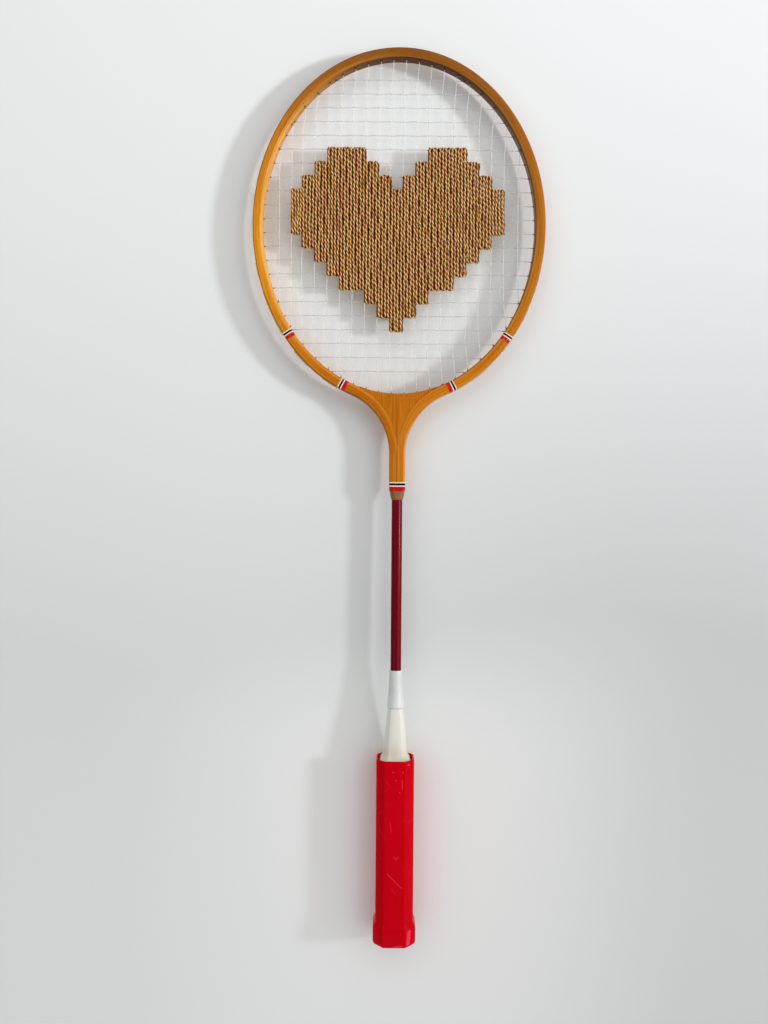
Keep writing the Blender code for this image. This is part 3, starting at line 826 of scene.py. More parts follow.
def wood_tone_and_painted_light(tone, along, depth, shades):
    """A ply's tone, with painted light and shade along the hoop, partly the wood's own tone.

    Its outer edge has painted shade on the left and a painted highlight down the neck's right side,
    its inside has painted shade from the top round the right side, and the two inner plies meet
    in a dark seam with a painted highlight beside it.
    """
    # Painted light and shade along the hoop, partly the wood's own tone
    stops = [(0.5 + at / SHADES_LENGTH, (*levels, 1.0)) for at, *levels in shades]
    shading = (along * (1 / (SHADES_LENGTH * MM)) + 0.5).ramp(stops)
    # Painted shade on the outer edge on the left, and a painted highlight down the neck's right side
    edge = depth.span(0.3 * MM, 1.0 * MM, 0.6, 0.0) * along.span(10 * MM, 70 * MM, 1.0, 0.0)
    lit = depth.span(1.1 * MM, 1.9 * MM, 0.7, 0.0) * along.span(NECK_FROM - 36 * MM, NECK_FROM)
    in_neck = abs(along).span(NECK_FROM - 6 * MM, NECK_FROM + 2 * MM)
    # The inner plies meet in a dark seam, with a painted highlight beside it on the right
    seam = depth.span(5.0 * MM, 5.6 * MM, 0.0, 0.8) * in_neck
    seam_and_highlight = along.above(0.0).between(colour(96, 50, 8), colour(226, 148, 62))
    # Painted shade on the inside, from the top round the right side
    inside = depth.span(6.8 * MM, 7.4 * MM, 0.0, 0.8) * along.span(-80 * MM, -15 * MM)
    tone = tone.blend(1.0, shading, "MULTIPLY")
    tone = tone.blend(edge, colour(66, 38, 16)).blend(lit, colour(222, 156, 92))
    return tone.blend(seam, seam_and_highlight).blend(inside, colour(56, 22, 10))


def banded(tone, along, place):
    """A ply's tone with the painted stripe bands over it."""
    bands = []
    for turn, left, right, wear in HOOP_BANDS:
        start = length_along(math.radians(turn) / SHOULDER_TURN) - HOOP_BAND_WIDTH / 2
        bands.append((start + left * MM, start + right * MM, HOOP_BAND_WIDTH, wear))
    bands.append((NECK_BAND_FROM, NECK_BAND_FROM, NECK_BAND_WIDTH, NECK_BAND_WEAR))
    for left, right, width, wear in bands:
        start = along.above(0.0) * (right - left) + left
        band = place.effect(
            PAINT_BAND, Vector=place, Along=abs(along), Start=start, Width=width, Wear=wear
        )
        tone = tone.blend(band["Mask"], band["Color"])
    return tone


def hole_wood():
    """The dark, unvarnished wall of a drilled hole."""
    material, shader, place = new_material("drilled_wood", Roughness=0.8)
    connect(shader, Base_Color=place.noise(1500).between(colour(52, 28, 12), colour(110, 66, 30)))
    return material


def core_wood():
    """Bare softwood, with its grain along the handle."""
    material, shader, place = new_material("core_softwood", Roughness=0.75)
    upright = {0: place.part("Z"), 1: place.part("X"), 2: place.part("Y")}
    grain = place.effect(
        WOOD_GRAIN,
        Vector=place.node("CombineXYZ", upright),
        Light=colour(214, 180, 132),
        Dark=colour(172, 128, 80),
        Pore=colour(120, 84, 48),
        Streaks=0.9,
        Pores=0.4,
    )
    connect(shader, Base_Color=grain["Color"], Normal=grain["Height"].bumped(0.1 * MM, 0.6))
    return material


def burgundy_enamel():
    """Glossy enamel on steel, with fine scratches and tiny specks."""
    material, shader, place = new_material(
        "burgundy_enamel", Specular_IOR_Level=0.07, Coat_Weight=0.04, Coat_Roughness=0.08
    )
    cloud = place.stretch((500, 500, 60)).noise(detail=3)
    scuffs = place.effect(SCUFFS, Vector=place, Size=420.0, Amount=0.6)
    tone = cloud.between(colour(98, 3, 28), colour(112, 5, 33))
    tone = tone.blend(scuffs["Scratches"], colour(150, 40, 62))
    connect(
        shader,
        Base_Color=tone.blend(scuffs["Specks"], colour(60, 4, 16)),
        Roughness=cloud.span(0.3, 0.7, 0.22, 0.34),
        Normal=(cloud - scuffs["Scratches"]).bumped(0.03 * MM, 0.35),
    )
    return material


def moulded_plastic(name, base, stained, stain_from, stain_to):
    """A satin moulding, a little stained towards one end, with a faint moulded texture."""
    material, shader, place = new_material(name, IOR=1.5)
    cloud = place.stretch((160, 160, 50)).noise(detail=3)
    stain = place.part("Z").span(stain_from, stain_to) * cloud.span(0.3, 0.75, 0.3, 1.0)
    scuffs = place.effect(SCUFFS, Vector=place, Size=300.0, Amount=0.5)
    tone = stain.between(base, stained)
    connect(
        shader,
        Base_Color=tone.blend(scuffs["Specks"] * 0.6, colour(140, 128, 110)),
        Roughness=cloud.span(0.2, 0.8, 0.30, 0.42),
        Normal=(place.noise(2600) - scuffs["Scratches"]).bumped(0.02 * MM, 0.3),
    )
    return material


def red_plastic():
    """Glossy red moulding: scratched, scuffed at the butt, with small bright nicks."""
    material, shader, place = new_material(
        "red_plastic", Specular_IOR_Level=0.03, Coat_Weight=0.01, Coat_Roughness=0.12
    )
    cloud = place.stretch((90, 90, 22)).noise(detail=3)
    scuffs = place.effect(SCUFFS, Vector=place, Size=150.0, Amount=0.75)
    marks = scuffs["Scratches"].largest(scuffs["Specks"])
    nicks = 0.0
    for from_x, from_z, to_x, to_z, width in GRIP_MARKS:
        start = (from_x * MM, 0, from_z * MM)
        stop = (to_x * MM, 0, to_z * MM)
        line = place.effect(SCRATCH_LINE, Vector=place, From=start, To=stop, Width=width * MM)
        nicks = line["Mask"].largest(nicks)
    nicks = nicks * place.part("Y").below(0.0)
    tone = cloud.between(colour(192, 0, 22), colour(205, 0, 28))
    tone = tone.blend(marks * 0.4, colour(236, 60, 70))
    marks = marks.largest(nicks)
    waves = place.stretch((130, 130, 40)).noise()
    connect(
        shader,
        Base_Color=tone.blend(nicks * 0.8, colour(250, 62, 84)),
        Roughness=marks * 0.3 + cloud.span(0.2, 0.8, 0.2, 0.3),
        Normal=(marks * -0.2 + waves).bumped(0.12 * MM, 0.5),
    )
    return material


def clear_nylon(name, dim, bright):
    """Translucent nylon cord, a little cloudy, with a painted brown shade where the twine or the
    hoop covers it.
    """
    material, shader, place = new_material(name, Specular_IOR_Level=0.2)
    cloud = finish_coordinates(place)[0].stretch((160, 900, 900)).noise()
    # Painted brown shade on the string where the twine or the hoop covers it
    in_shade = attribute(place, "covered")
    connect(
        shader,
        Base_Color=cloud.between(dim, bright).blend(in_shade, colour(78, 48, 24)),
        Roughness=cloud.span(0.2, 0.8, 0.35, 0.5).largest(in_shade),
        Alpha=in_shade.span(0.0, 1.0, 0.30, 1.0),
    )
    return material


def gold_twine():
    """Two-ply twine in shifting golds and coppers, with painted shade in the gaps between its
    strands.
    """
    material, shader, place = new_material("gold_twine", Specular_IOR_Level=0.05)
    vector = finish_coordinates(place)[0]
    dye = vector.stretch((32, 0, 0)).noise(detail=3, roughness=0.55).span(0.30, 0.70)
    dyes = [
        (0.0, colour(208, 134, 96)),
        (0.22, colour(246, 178, 132)),
        (0.42, colour(255, 198, 126)),
        (0.60, colour(255, 212, 144)),
        (0.78, colour(244, 184, 92)),
        (1.0, colour(200, 132, 66)),
    ]
    fibres = vector.stretch((260, 9000, 0)).noise()
    shading = fibres.ramp([(0.3, colour(150, 130, 118)), (0.7, (1, 1, 1, 1))])
    tone = dye.ramp(dyes).blend(0.4, shading, "MULTIPLY")
    # Painted shade in the gaps between the strands, where the lit share is low
    gap_shade = tone.blend(1.0, colour(106, 58, 12), "MULTIPLY")
    connect(
        shader,
        Base_Color=attribute(place, "lit").between(gap_shade, tone),
        Roughness=fibres.span(0.2, 0.8, 0.42, 0.62),
        Normal=fibres.bumped(0.12 * MM, 0.7),
    )
    return material


# The hoop


def ply_outline(number, way):
    """A ply's outline as (depth, y) points, with rounded outer edges and tight glue lines."""
    thickness = (leg_thickness(way) - 2 * GLUE_LINE) / 3
    near = number * (thickness + GLUE_LINE)
    far = near + thickness
    # Beside the wedge, the inner ply's edge is square again
    beside_wedge = min(max((abs(way) - 1.02) / 0.12, 0), 1)
    inner_edge = INNER_ROUNDING + (GLUE_ROUNDING - INNER_ROUNDING) * beside_wedge
    near_radius = EDGE_ROUNDING if number == 0 else GLUE_ROUNDING
    far_radius = inner_edge if number == 2 else GLUE_ROUNDING
    middle = near + 0.06 * thickness if number == 2 else (near + far) / 2
    front = [(depth, -HALF_DEPTH) for depth in (near, middle, far)]
    back = [(depth, HALF_DEPTH) for depth in (far, middle, near)]
    radii = [near_radius, 0, far_radius, far_radius, 0, near_radius]
    outline = rounded(front + back, radii, closed=True)
    return [(depth, y * crown_share(depth, way, beside_wedge)) for depth, y in outline]


def crown_share(depth, way, beside_wedge):
    """How much of the hoop's depth is left at a depth under its outside: the faces are crowned."""
    across = 2 * depth / leg_thickness(way) - 1
    if across > 0:
        across *= 1 - beside_wedge
    return 1 - FACE_CROWN / HALF_DEPTH * across**2


def neck_end_cutter(wood):
    """A ring whose inside is the shape that the neck's end is turned to."""
    below = NECK_END - 1 * MM
    wide = 14 * MM
    profile = [(radius * MM, NECK_END + above * MM) for above, radius in NECK_END_PROFILE]
    profile = [(profile[0][0] - 0.3 * MM, below), *profile, (wide, profile[-1][1]), (wide, below)]
    sides = 64
    rings = [circle_ring(radius, height, sides) for radius, height in profile]
    lengths = [NECK_FROM + SHOULDER_CENTRE.y - height for _, height in profile]
    mesh = skin("neck_end", surface(rings, even_coords(lengths, 32 * MM, sides), closed=True))
    mesh.materials.append(wood)
    return mesh


def ply_mesh(number, name):
    right = half_ways()
    rings = []
    rows = []
    for way in [-way for way in reversed(right)] + right:
        outline = ply_outline(number, way)
        places = [hoop_place(way, depth) for depth, _ in outline]
        rings.append([(place.x, y, place.y) for place, (_, y) in zip(places, outline)])
        rows.append([(length_along(way), depth) for depth, _ in outline])
    return skin(name, surface(rings, closed_rows(rows)))


def rod(start, stop, radius, sides, reach):
    """The surface of a closed rod between two points, longer by a reach at both ends."""
    along = (stop - start).normalized()
    turn = along.to_track_quat("Z", "Y").to_matrix()
    rings = []
    for end in (start - along * reach, stop + along * reach):
        rings.append([tuple(end + turn @ Vector(at)) for at in circle_ring(radius, 0, sides)])
    return surface(rings, even_coords([0, 0], 0, sides))


def hole_cutter(holes, wood, shaft_bore=False):
    """One mesh of rods: a string hole for each pair of places, and the bore in the neck."""
    rods = [rod(start, stop, HOLE_RADIUS, HOLE_SIDES, HOLE_REACH) for start, stop in holes]
    if shaft_bore:
        foot = Vector((0, 0, NECK_END))
        rods.append(rod(foot, foot + Vector((0, 0, BORE_DEPTH)), BORE_RADIUS, 32, 0.5 * MM))
    mesh = skin("hole_cutter", *rods)
    mesh.materials.append(wood)
    return mesh


def build_hoop(holes, drilled):
    """The three plies, drilled for the strings."""
    honey = colour(202, 122, 20), colour(178, 98, 13)
    brown = colour(200, 120, 18), colour(172, 94, 11)
    # The inner ply's paler colour is a painted highlight on the hoop's inner edge; its table keeps
    # it bright on the left and darkens it elsewhere
    pale = colour(232, 164, 74), colour(208, 134, 46)
    finishes = (
        ("outer", *honey, "honey_ply", (0.0, 0.0, 0.0), HOOP_TONE_AND_PAINTED_LIGHT),
        ("middle", *brown, "dark_ply", (3.1, 0.2, 0.0), HOOP_TONE_AND_PAINTED_LIGHT),
        ("inner", *pale, "pale_ply", (5.7, 0.4, 0.0), INNER_TONE_AND_PAINTED_LIGHT),
    )
    tool = hole_cutter(holes, drilled, shaft_bore=True)
    for number, (layer, light, dark, slot, offset, shades) in enumerate(finishes):
        wood = varnished_wood(f"{layer}_ply_wood", light, dark, 0.8, 0.8, offset, shades)
        mesh = ply_mesh(number, f"{layer}_ply")
        mesh.materials.append(wood)
        mesh = cut_mesh(mesh, neck_end_cutter(wood), tool)
        shade(mesh)
        place_piece(f"{layer}_ply", mesh, f"hoop_{layer}_ply")


def wedge_side(way):
    return hoop_place(way, leg_thickness(way) + GLUE_LINE)


def head_floor(x):
    """The height of the inside of the head, below its widest line."""
    return WIDEST_HEIGHT - HEAD_BELOW_WIDEST * math.sqrt(1 - (x / HEAD_HALF_WIDTH) ** 2)


def build_wedge(holes, drilled):
    """The block between the legs, whose rounded top closes the inside of the head."""

    def edge_height(way):
        place = wedge_side(way)
        return head_floor(place.x) - place.y - WEDGE_EDGE

    start = solve(edge_height, 1, 1.5)
    stop = solve(lambda way: wedge_side(way).x - WEDGE_TIP / 2, start, 2)
    right = [wedge_side(start + (stop - start) * share) for share in even_shares(SHOULDER_STEPS)]
    rings = []
    rows = []
    for place in right + [Vector((-place.x, place.y)) for place in reversed(right)]:
        top = head_floor(place.x)
        radius = min(EDGE_ROUNDING, (top - place.y) * 0.6)
        front = [(-HALF_DEPTH, place.y), (-HALF_DEPTH, top)]
        back = [(HALF_DEPTH, top), (HALF_DEPTH, place.y)]
        radii = [GLUE_ROUNDING, radius, radius, GLUE_ROUNDING]
        outline = rounded(front + back, radii, closed=True)
        rings.append([(place.x, y, z) for y, z in outline])
        rows.append([(z, place.x) for _, z in outline])
    mesh = skin("throat_block", surface(rings, closed_rows(rows)))
    light, dark = colour(196, 116, 18), colour(170, 92, 10)
    mesh.materials.append(varnished_wood("wedge_wood", light, dark, 1.0, 0.5, (8.3, 0.6, 0.0)))
    mesh = cut_mesh(mesh, hole_cutter(holes, drilled))
    shade(mesh)
    place_piece("throat_block", mesh, "throat_wedge")


# The strings


class StringEnd:
    """Where a string meets the hoop: the bend inside it, and the turn outside it."""

    def __init__(self, bend, way, stagger):
        outside = hoop_place(way, -LOOP_OUTSIDE)
        self.way = way
        self.bend = Vector((bend.x, stagger, bend.y))
        self.outside = Vector((outside.x, stagger, outside.y))

    def mirrored(self):
        return StringEnd(Vector((-self.bend.x, self.bend.z)), -self.way, self.bend.y)

    def loop_to(self, other):
        """The points along the hoop's outside from this hole to another."""
        steps = max(3, math.ceil((other.outside - self.outside).length / (2 * MM)))
        points = []
        for step in range(1, steps):
            way = self.way + (other.way - self.way) * step / steps
            place = hoop_place(way, -LOOP_OUTSIDE)
            points.append(Vector((place.x, self.outside.y, place.y)))
        return [self.outside, *points, other.outside]


def bend_place(turn):
    return oval_place(turn, HOOP_THICKNESS + BEND_INSIDE)


def main_ends(number):
    """The top and bottom ends of the main string that lies this many steps right of the middle."""
    x = (number + 0.5) * MAIN_PITCH
    upper = solve(lambda turn: bend_place(turn).x - x, 0, math.pi / 2)
    lower = solve(lambda turn: bend_place(turn).x - x, math.pi / 2, math.pi)
    way = lower / SHOULDER_TURN
    # Over the throat the holes slant out through the legs, to end beside the neck
    exit_x = THROAT_EXIT + number * THROAT_EXIT_PITCH
    if way > 1:
        way = solve(lambda place: hoop_place(place, 0).x - exit_x, 1, 2)
    top = StringEnd(bend_place(upper), upper / SHOULDER_TURN, -HOLE_STAGGER)
    return top, StringEnd(bend_place(lower), way, -HOLE_STAGGER)


def cross_end(height):
    """The right end of the cross string at a height."""
    turn = solve(lambda turn: bend_place(turn).y - height, 0, math.pi)
    return StringEnd(bend_place(turn), turn / SHOULDER_TURN, HOLE_STAGGER)


def lacing():
    """(mains, crosses): each string run's two ends, from left to right and from the top down."""
    right = [main_ends(number) for number in range(MAIN_COUNT)]
    left = [(top.mirrored(), bottom.mirrored()) for top, bottom in reversed(right)]
    ends = [cross_end(-FIRST_CROSS - row * CROSS_PITCH) for row in range(CROSS_COUNT)]
    return left + right, [(end.mirrored(), end) for end in ends]


def weave(row, column):
    """+1 where the cross string passes behind the main string, and -1 where it is in front."""
    return 1 if (row + column) % 2 else -1


def main_x(column, main, height):
    """Where a main string is at a height: the heart has drawn most of them to the left."""
    from_end = min(height - main[1].bend.z, main[0].bend.z - height)
    share = {0: 0.0, 1: 0.2, 2 * MAIN_COUNT - 1: 0.4}.get(column, 1.0)
    return main[0].bend.x - DRAWN_LEFT * share * float(ease(from_end, 0, DRAWN_LENGTH))


def waved(low, high, crossings):
    """(places, offsets) along a run between two holes: its wave over the bed's middle.

    Each crossing is its place, its room to the hoop and its weave. The offset is towards the
    side of the run's own holes.
    """
    knots = [(low, HOLE_STAGGER)]
    for place, room, turn in crossings:
        if low + STRAIGHT_LENGTH < place < high - STRAIGHT_LENGTH and room > 0:
            # Near the hoop the string still lies in line with its hole
            share = float(ease(min(place - low, high - place, room), 0, SETTLE_LENGTH))
            knots.append((place, HOLE_STAGGER * (1 - share) + turn * STRING_WAVE * share))
    knots, offsets = np.array([*knots, (high, HOLE_STAGGER)]).T
    places = np.linspace(low, high, max(8, int((high - low) / WAVE_STEP)))
    after = np.clip(np.searchsorted(knots, places), 1, len(knots) - 1)
    share = (places - knots[after - 1]) / (knots[after] - knots[after - 1])
    share = (1 - np.cos(math.pi * np.clip(share, 0, 1))) / 2
    return places, offsets[after - 1] + (offsets[after] - offsets[after - 1]) * share


def main_run(column, main, crosses):
    """The points of one main string inside the head, from the top down."""
    top, bottom = main
    crossings = []
    for row in reversed(range(CROSS_COUNT)):
        end = crosses[row][1].bend
        crossings.append((end.z, end.x - abs(top.bend.x), weave(row, column)))
    heights, offsets = waved(bottom.bend.z, top.bend.z, crossings)
    points = [Vector((main_x(column, main, z), -y, z)) for z, y in zip(heights, offsets)]
    return points[::-1]


def cross_run(row, cross, mains):
    """The points of one cross string inside the head, from left to right."""
    left, right = cross
    height = left.bend.z
    crossings = []
    for column, main in enumerate(mains):
        room = min(main[0].bend.z - height, height - main[1].bend.z)
        crossings.append((main_x(column, main, height), room, weave(row, column)))
    places, offsets = waved(left.bend.x, right.bend.x, crossings)
    return [Vector((x, y, height)) for x, y in zip(places, offsets)]


def laced(runs, ends):
    """One string's points: its runs there and back, joined by loops outside the hoop."""
    runs = [run[::-1] if number % 2 else run for number, run in enumerate(runs)]
    ends = [pair[::-1] if number % 2 else pair for number, pair in enumerate(ends)]
    points = [(ends[0][0].bend + ends[0][0].outside) / 2, *runs[0]]
    for run, (_, stop), (start, _) in zip(runs[1:], ends, ends[1:]):
        points += [*stop.loop_to(start), *run]
    last = ends[-1][1]
    return [*points, (last.bend + last.outside) / 2]


def covered(path, columns):
    """Painted shade on a string: 1 inside the heart or where it goes into the hoop, 0 in the open.
    """
    x, _, z = path.T
    height = np.where(z > WIDEST_HEIGHT, HEAD_ABOVE_WIDEST, HEAD_BELOW_WIDEST)
    out = np.hypot(x / HEAD_HALF_WIDTH, (z - WIDEST_HEIGHT) / height)
    inside = (1 - out) * HEAD_ABOVE_WIDEST
    in_shade = (1 - ease(inside, 0.4 * MM, 1.8 * MM)) * ease(inside, -6 * MM, -3 * MM)
    for left, right, top, bottom in columns:
        within = (x > left - STRING_RADIUS) & (x < right + STRING_RADIUS)
        within &= (z < top + STRING_RADIUS) & (z > bottom - STRING_RADIUS)
        in_shade = np.maximum(in_shade, within)
    return in_shade


def share_out(mesh, name, shares):
    """Stores a share for each of a mesh's points, for its material."""
    mesh.attributes.new(name, "FLOAT", "POINT").data.foreach_set("value", shares)
    mesh.shade_smooth()


def build_strings(mains, crosses, columns):
    main_runs = [main_run(column, main, crosses) for column, main in enumerate(mains)]
    cross_runs = [cross_run(row, cross, mains) for row, cross in enumerate(crosses)]
    across_the_bed = np.array((0.0, 1.0, 0.0))
    strings = (
        ("main", laced(main_runs, mains), colour(206, 207, 204), colour(240, 240, 237)),
        ("cross", laced(cross_runs, crosses), colour(172, 174, 171), colour(206, 207, 203)),
    )
    for kind, points, dim, bright in strings:
        path = smooth(resample(points, STRING_STEP), 2)
        rings = tube_rings(path, STRING_RADIUS, STRING_SIDES, across_the_bed)
        mesh = skin(f"{kind}_cord", surface(rings, tube_coords(path, STRING_RADIUS, STRING_SIDES)))
        share_out(mesh, "covered", np.repeat(covered(path, columns), STRING_SIDES))
        nylon = clear_nylon(f"{kind}_nylon", dim, bright)
        place_piece(f"{kind}_cord", mesh, f"{kind}_string", nylon)


# The heart


def half_turn(x, height, crown, start, stop):
    """The twine's way over a cross string, from one angle round it to another."""
    points = []
    for share in even_shares(TWINE_TURN_STEPS):
        angle = start + (stop - start) * share
        points.append((x(share), -TWINE_LAYER * math.cos(angle), height + crown * math.sin(angle)))
    return points


def winding_path(left, right, top, bottom, draw):
    """The middle line of one column's winding: down the front, up the back, and round."""
    pitch = (right - left) / TWINE_STRANDS
    first_x = left + pitch / 2
    points = half_turn(lambda share: first_x, top, TWINE_CROWN, TWINE_END_ANGLE, 0)
    for strand in range(TWINE_STRANDS):
        x = first_x + strand * pitch
        points += half_turn(lambda share: x + pitch / 2 * share, bottom, -TWINE_CROWN, 0, math.pi)
        # The last strand ends at the back of the top string, behind the next main string
        last = strand + 1 == TWINE_STRANDS
        onward = 0 if last else pitch / 2
        stop = TWINE_END_ANGLE if last else 0
        points += half_turn(
            lambda share: x + pitch / 2 + onward * share, top, TWINE_CROWN, math.pi, stop
        )
    path = resample(points, TWINE_STEP)
    # No strand lies quite straight or quite level
    travelled = np.arange(len(path)) * TWINE_STEP
    for axis, reach in ((0, 0.15 * MM), (1, 0.07 * MM)):
        for length in (9 * MM, 23 * MM, 61 * MM):
            phase = draw.uniform(0, 2 * math.pi)
            path[:, axis] += reach * np.sin(2 * math.pi * travelled / length + phase)
    return smooth(path, 2)


def lit_shares(rings, path, top, bottom):
    """How far each point of the twine stands out of the painted shade in the gaps of the winding."""
    offset = (rings - path[:, None]) / (TWINE_TWIST_RADIUS + TWINE_PLY_RADIUS)
    outwards = np.sqrt(np.linalg.norm(offset, axis=2))
    ridge = ease(outwards * (1 - 0.75 * offset[:, :, 0] ** 2), 0.42, 0.88)
    raised = ease(np.abs(rings[:, :, 1]), 1.0 * MM, 2.2 * MM)
    height = rings[:, :, 2]
    at_turn = ease(np.maximum(height - top, bottom - height), 0, 0.5 * MM)
    return ridge * np.maximum(raised, at_turn)


def twine_mesh(name, path, draw, start, top, bottom):
    """Two plies twisted round each other along a path."""
    sideways = np.array((1.0, 0.0, 0.0))
    first, second = directions(path, sideways)
    travelled = np.arange(len(path)) * TWINE_STEP
    uneven = 0.7 * np.sin(travelled / (17 * MM) + draw.uniform(0, 6))
    angle = -2 * math.pi * travelled / TWINE_TWIST_PITCH + uneven + draw.uniform(0, 6)
    plies = []
    shares = []
    for ply in range(2):
        turn = angle + math.pi * ply
        fat = 1 + 0.07 * np.sin(travelled / (5.3 * MM) + draw.uniform(0, 6))
        offset = first * np.cos(turn)[:, None] + second * np.sin(turn)[:, None]
        ply_path = path + offset * TWINE_TWIST_RADIUS
        radius = (TWINE_PLY_RADIUS * fat)[:, None, None]
        rings = tube_rings(ply_path, radius, TWINE_SIDES, sideways)
        coords = tube_coords(ply_path, TWINE_PLY_RADIUS, TWINE_SIDES, start + 11.0 * ply)
        plies.append(surface(rings, coords))
        shares.append(lit_shares(rings, path, top, bottom).ravel())
    mesh = skin(name, *plies)
    share_out(mesh, "lit", np.concatenate(shares))
    return mesh


def heart_columns(mains, crosses):
    """(left, right, top, bottom) of each column of the heart, from left to right."""
    columns = []
    for column in range(1 - len(HEART_COUNTS), len(HEART_COUNTS)):
        upper, lower = HEART_COUNTS[abs(column)]
        top = crosses[upper][0].bend.z
        bottom = crosses[lower][0].bend.z
        beside = (MAIN_COUNT - 1 + column, MAIN_COUNT + column)
        sides = [main_x(number, mains[number], (top + bottom) / 2) for number in beside]
        columns.append((*sides, top, bottom))
    return columns


def build_heart(columns):
    twine = gold_twine()
    draw = random.Random(7)
    for number, (left, right, top, bottom) in enumerate(columns, start=1):
        path = winding_path(left, right, top, bottom, draw)
        mesh = twine_mesh(f"twine_column_{number:02d}", path, draw, 1.7 * number, top, bottom)
        place_piece(mesh.name, mesh, f"yarn_column_{number:02d}", twine)


# The shaft, the mouldings and the grip


def build_shaft():
    """The enamelled steel tube, drawn down to a spigot inside the neck."""
    low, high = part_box("shaft")
    outer = high.x
    bore = outer - SHAFT_WALL
    spigot_bore = SPIGOT_RADIUS - SHAFT_WALL
    shoulder = NECK_END - 0.05 * MM
    outline = [
        (SPIGOT_RADIUS, high.z),
        (SPIGOT_RADIUS, shoulder),
        (outer, shoulder),
        (outer, low.z),
        (bore, low.z),
        (bore, shoulder - 3 * SHAFT_WALL),
        (spigot_bore, shoulder - SHAFT_WALL),
        (spigot_bore, high.z),
    ]
    radii = [0, 0, 0.35 * MM, 0.2 * MM, 0, 0, 0, 0]
    mesh = turned("shaft_tube", rounded(outline, radii))
    place_piece("shaft_tube", mesh, "shaft", burgundy_enamel())


def build_collar():
    """The slim moulding round the shaft, which flares to its lip."""
    low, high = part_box("upper_collar")
    length = high.z - low.z
    bore = SHAFT_CLEAR_RADIUS
    top = 4.8 * MM
    bottom = high.x
    flare = []
    for share in even_shares(12):
        flare.append((top + (bottom - top) * share**1.7, high.z - length * (0.02 + 0.94 * share)))
    outline = [(bore, high.z), (top - 0.1 * MM, high.z), *flare, (bottom, low.z), (bore, low.z)]
    radii = [0, 0.3 * MM, *[0] * len(flare), 0.25 * MM, 0]
    mesh = turned("white_collar", rounded(outline, radii, steps=4))
    clean, stained = colour(216, 221, 222), colour(200, 202, 198)
    stain_to = low.z + 0.6 * length
    plastic = moulded_plastic("cool_white_plastic", clean, stained, low.z, stain_to)
    place_piece("white_collar", mesh, "upper_collar", plastic)


def grip_octagon(inset, rounding, steps=5):
    """(x, y) points of the grip's octagon, drawn in on every side, from its right side."""
    right = GRIP_HALF_WIDTH - inset
    back = GRIP_HALF_DEPTH - inset
    corner = GRIP_CORNER - inset * (2 - math.sqrt(2))
    half = [(right, corner - back), (right, back - corner)]
    half += [(right - corner, back), (corner - right, back)]
    corners = half + [(-x, -y) for x, y in half]
    return rounded(corners, [rounding] * len(corners), steps, closed=True)


def build_cone():
    """The ivory moulding, round at the top and an octagon where it enters the sleeve."""
    low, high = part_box("lower_cone")
    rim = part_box("grip_sleeve")[1].z
    flare_top = rim + CONE_FLARE_TOP
    skirt = grip_octagon(SLEEVE_WALL + SKIRT_GAP, SEAT_ROUNDING, steps=11)

    def outline(radius, share=0.0):
        """A share of the way from round to the skirt's octagon."""
        return [(place.normalized() * radius).lerp(place, share) for place in skirt]

    depths, radii = zip(*CONE_PROFILE)
    lip = radii[0] * MM
    waist = radii[-1] * MM
    sections = [
        (high.z, outline(SHAFT_CLEAR_RADIUS)),
        (high.z, outline(lip - 0.3 * MM)),
        (high.z - 0.1 * MM, outline(lip - 0.09 * MM)),
        (high.z - 0.35 * MM, outline(lip)),
    ]
    for share in even_shares(16, first=1):
        height = high.z + (flare_top - high.z) * share
        radius = float(np.interp((high.z - height) / MM, depths, radii)) * MM
        sections.append((height, outline(radius, 0.05 * share)))
    for share in even_shares(12, first=1):
        height = flare_top - CONE_FLARE_LENGTH * share
        radius = waist + CONE_FLARE * share**1.9
        sections.append((height, outline(radius, 0.05 + 0.95 * share**1.7)))
    sections += [
        (low.z + 0.3 * MM, skirt),
        (low.z, [place * 0.975 for place in skirt]),
        (low.z, outline(SHAFT_CLEAR_RADIUS)),
    ]
    clean, stained = colour(226, 224, 215), colour(208, 200, 178)
    plastic = moulded_plastic("ivory_plastic", clean, stained, rim + 20 * MM, rim - 2 * MM)
    mesh = loft("ivory_cone", sections)
    place_piece("ivory_cone", mesh, "lower_cone", plastic)


def build_sleeve():
    """The moulded grip: an open mouth with a rounded rim, and a flared, closed butt."""
    low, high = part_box("grip_sleeve")
    butt, rim = low.z, high.z
    rim_round = SLEEVE_WALL / 2
    sections = []

    def add_section(height, inset, rounding=CORNER_ROUNDING):
        sections.append((height, grip_octagon(inset, rounding)))

    add_section(butt + SLEEVE_END_WALL, SLEEVE_WALL, SEAT_ROUNDING)
    add_section(rim - 5 * MM, SLEEVE_WALL, SEAT_ROUNDING)
    for share in even_shares(8):
        angle = math.pi * share
        inset = rim_round + rim_round * math.cos(angle)
        add_section(rim - rim_round + rim_round * math.sin(angle), inset)
    for step in range(1, 6):
        add_section(rim - rim_round - (rim - butt - 22 * MM) * step / 6, 0)
    for share in even_shares(12):
        add_section(butt + (18 - 6 * share) * MM, -BUTT_FLARE * ease(share, 0, 1))
    for share in even_shares(8):
        angle = math.pi / 2 * share
        inset = BUTT_ROUNDING * (1 - math.cos(angle)) - BUTT_FLARE
        add_section(butt + BUTT_ROUNDING * (1 - math.sin(angle)), inset)
    add_section(butt, BUTT_INSET)
    # Nearly a point at both ends closes the floors of the mouth and of the butt
    ends = sections[0], sections[-1]
    first, last = [(height, [place * 0.01 for place in outline]) for height, outline in ends]
    mesh = loft("red_grip", [first, *sections, last])
    place_piece("red_grip", mesh, "grip_sleeve", red_plastic())


def dress_core():
    """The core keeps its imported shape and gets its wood."""
    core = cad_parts["handle_core"]
    core.material_slots[0].material = core_wood()


# The stage


def blank_tree(owner):
    """The emptied node tree of a material or a world."""
    owner.use_nodes = True
    owner.node_tree.nodes.clear()
    return owner.node_tree


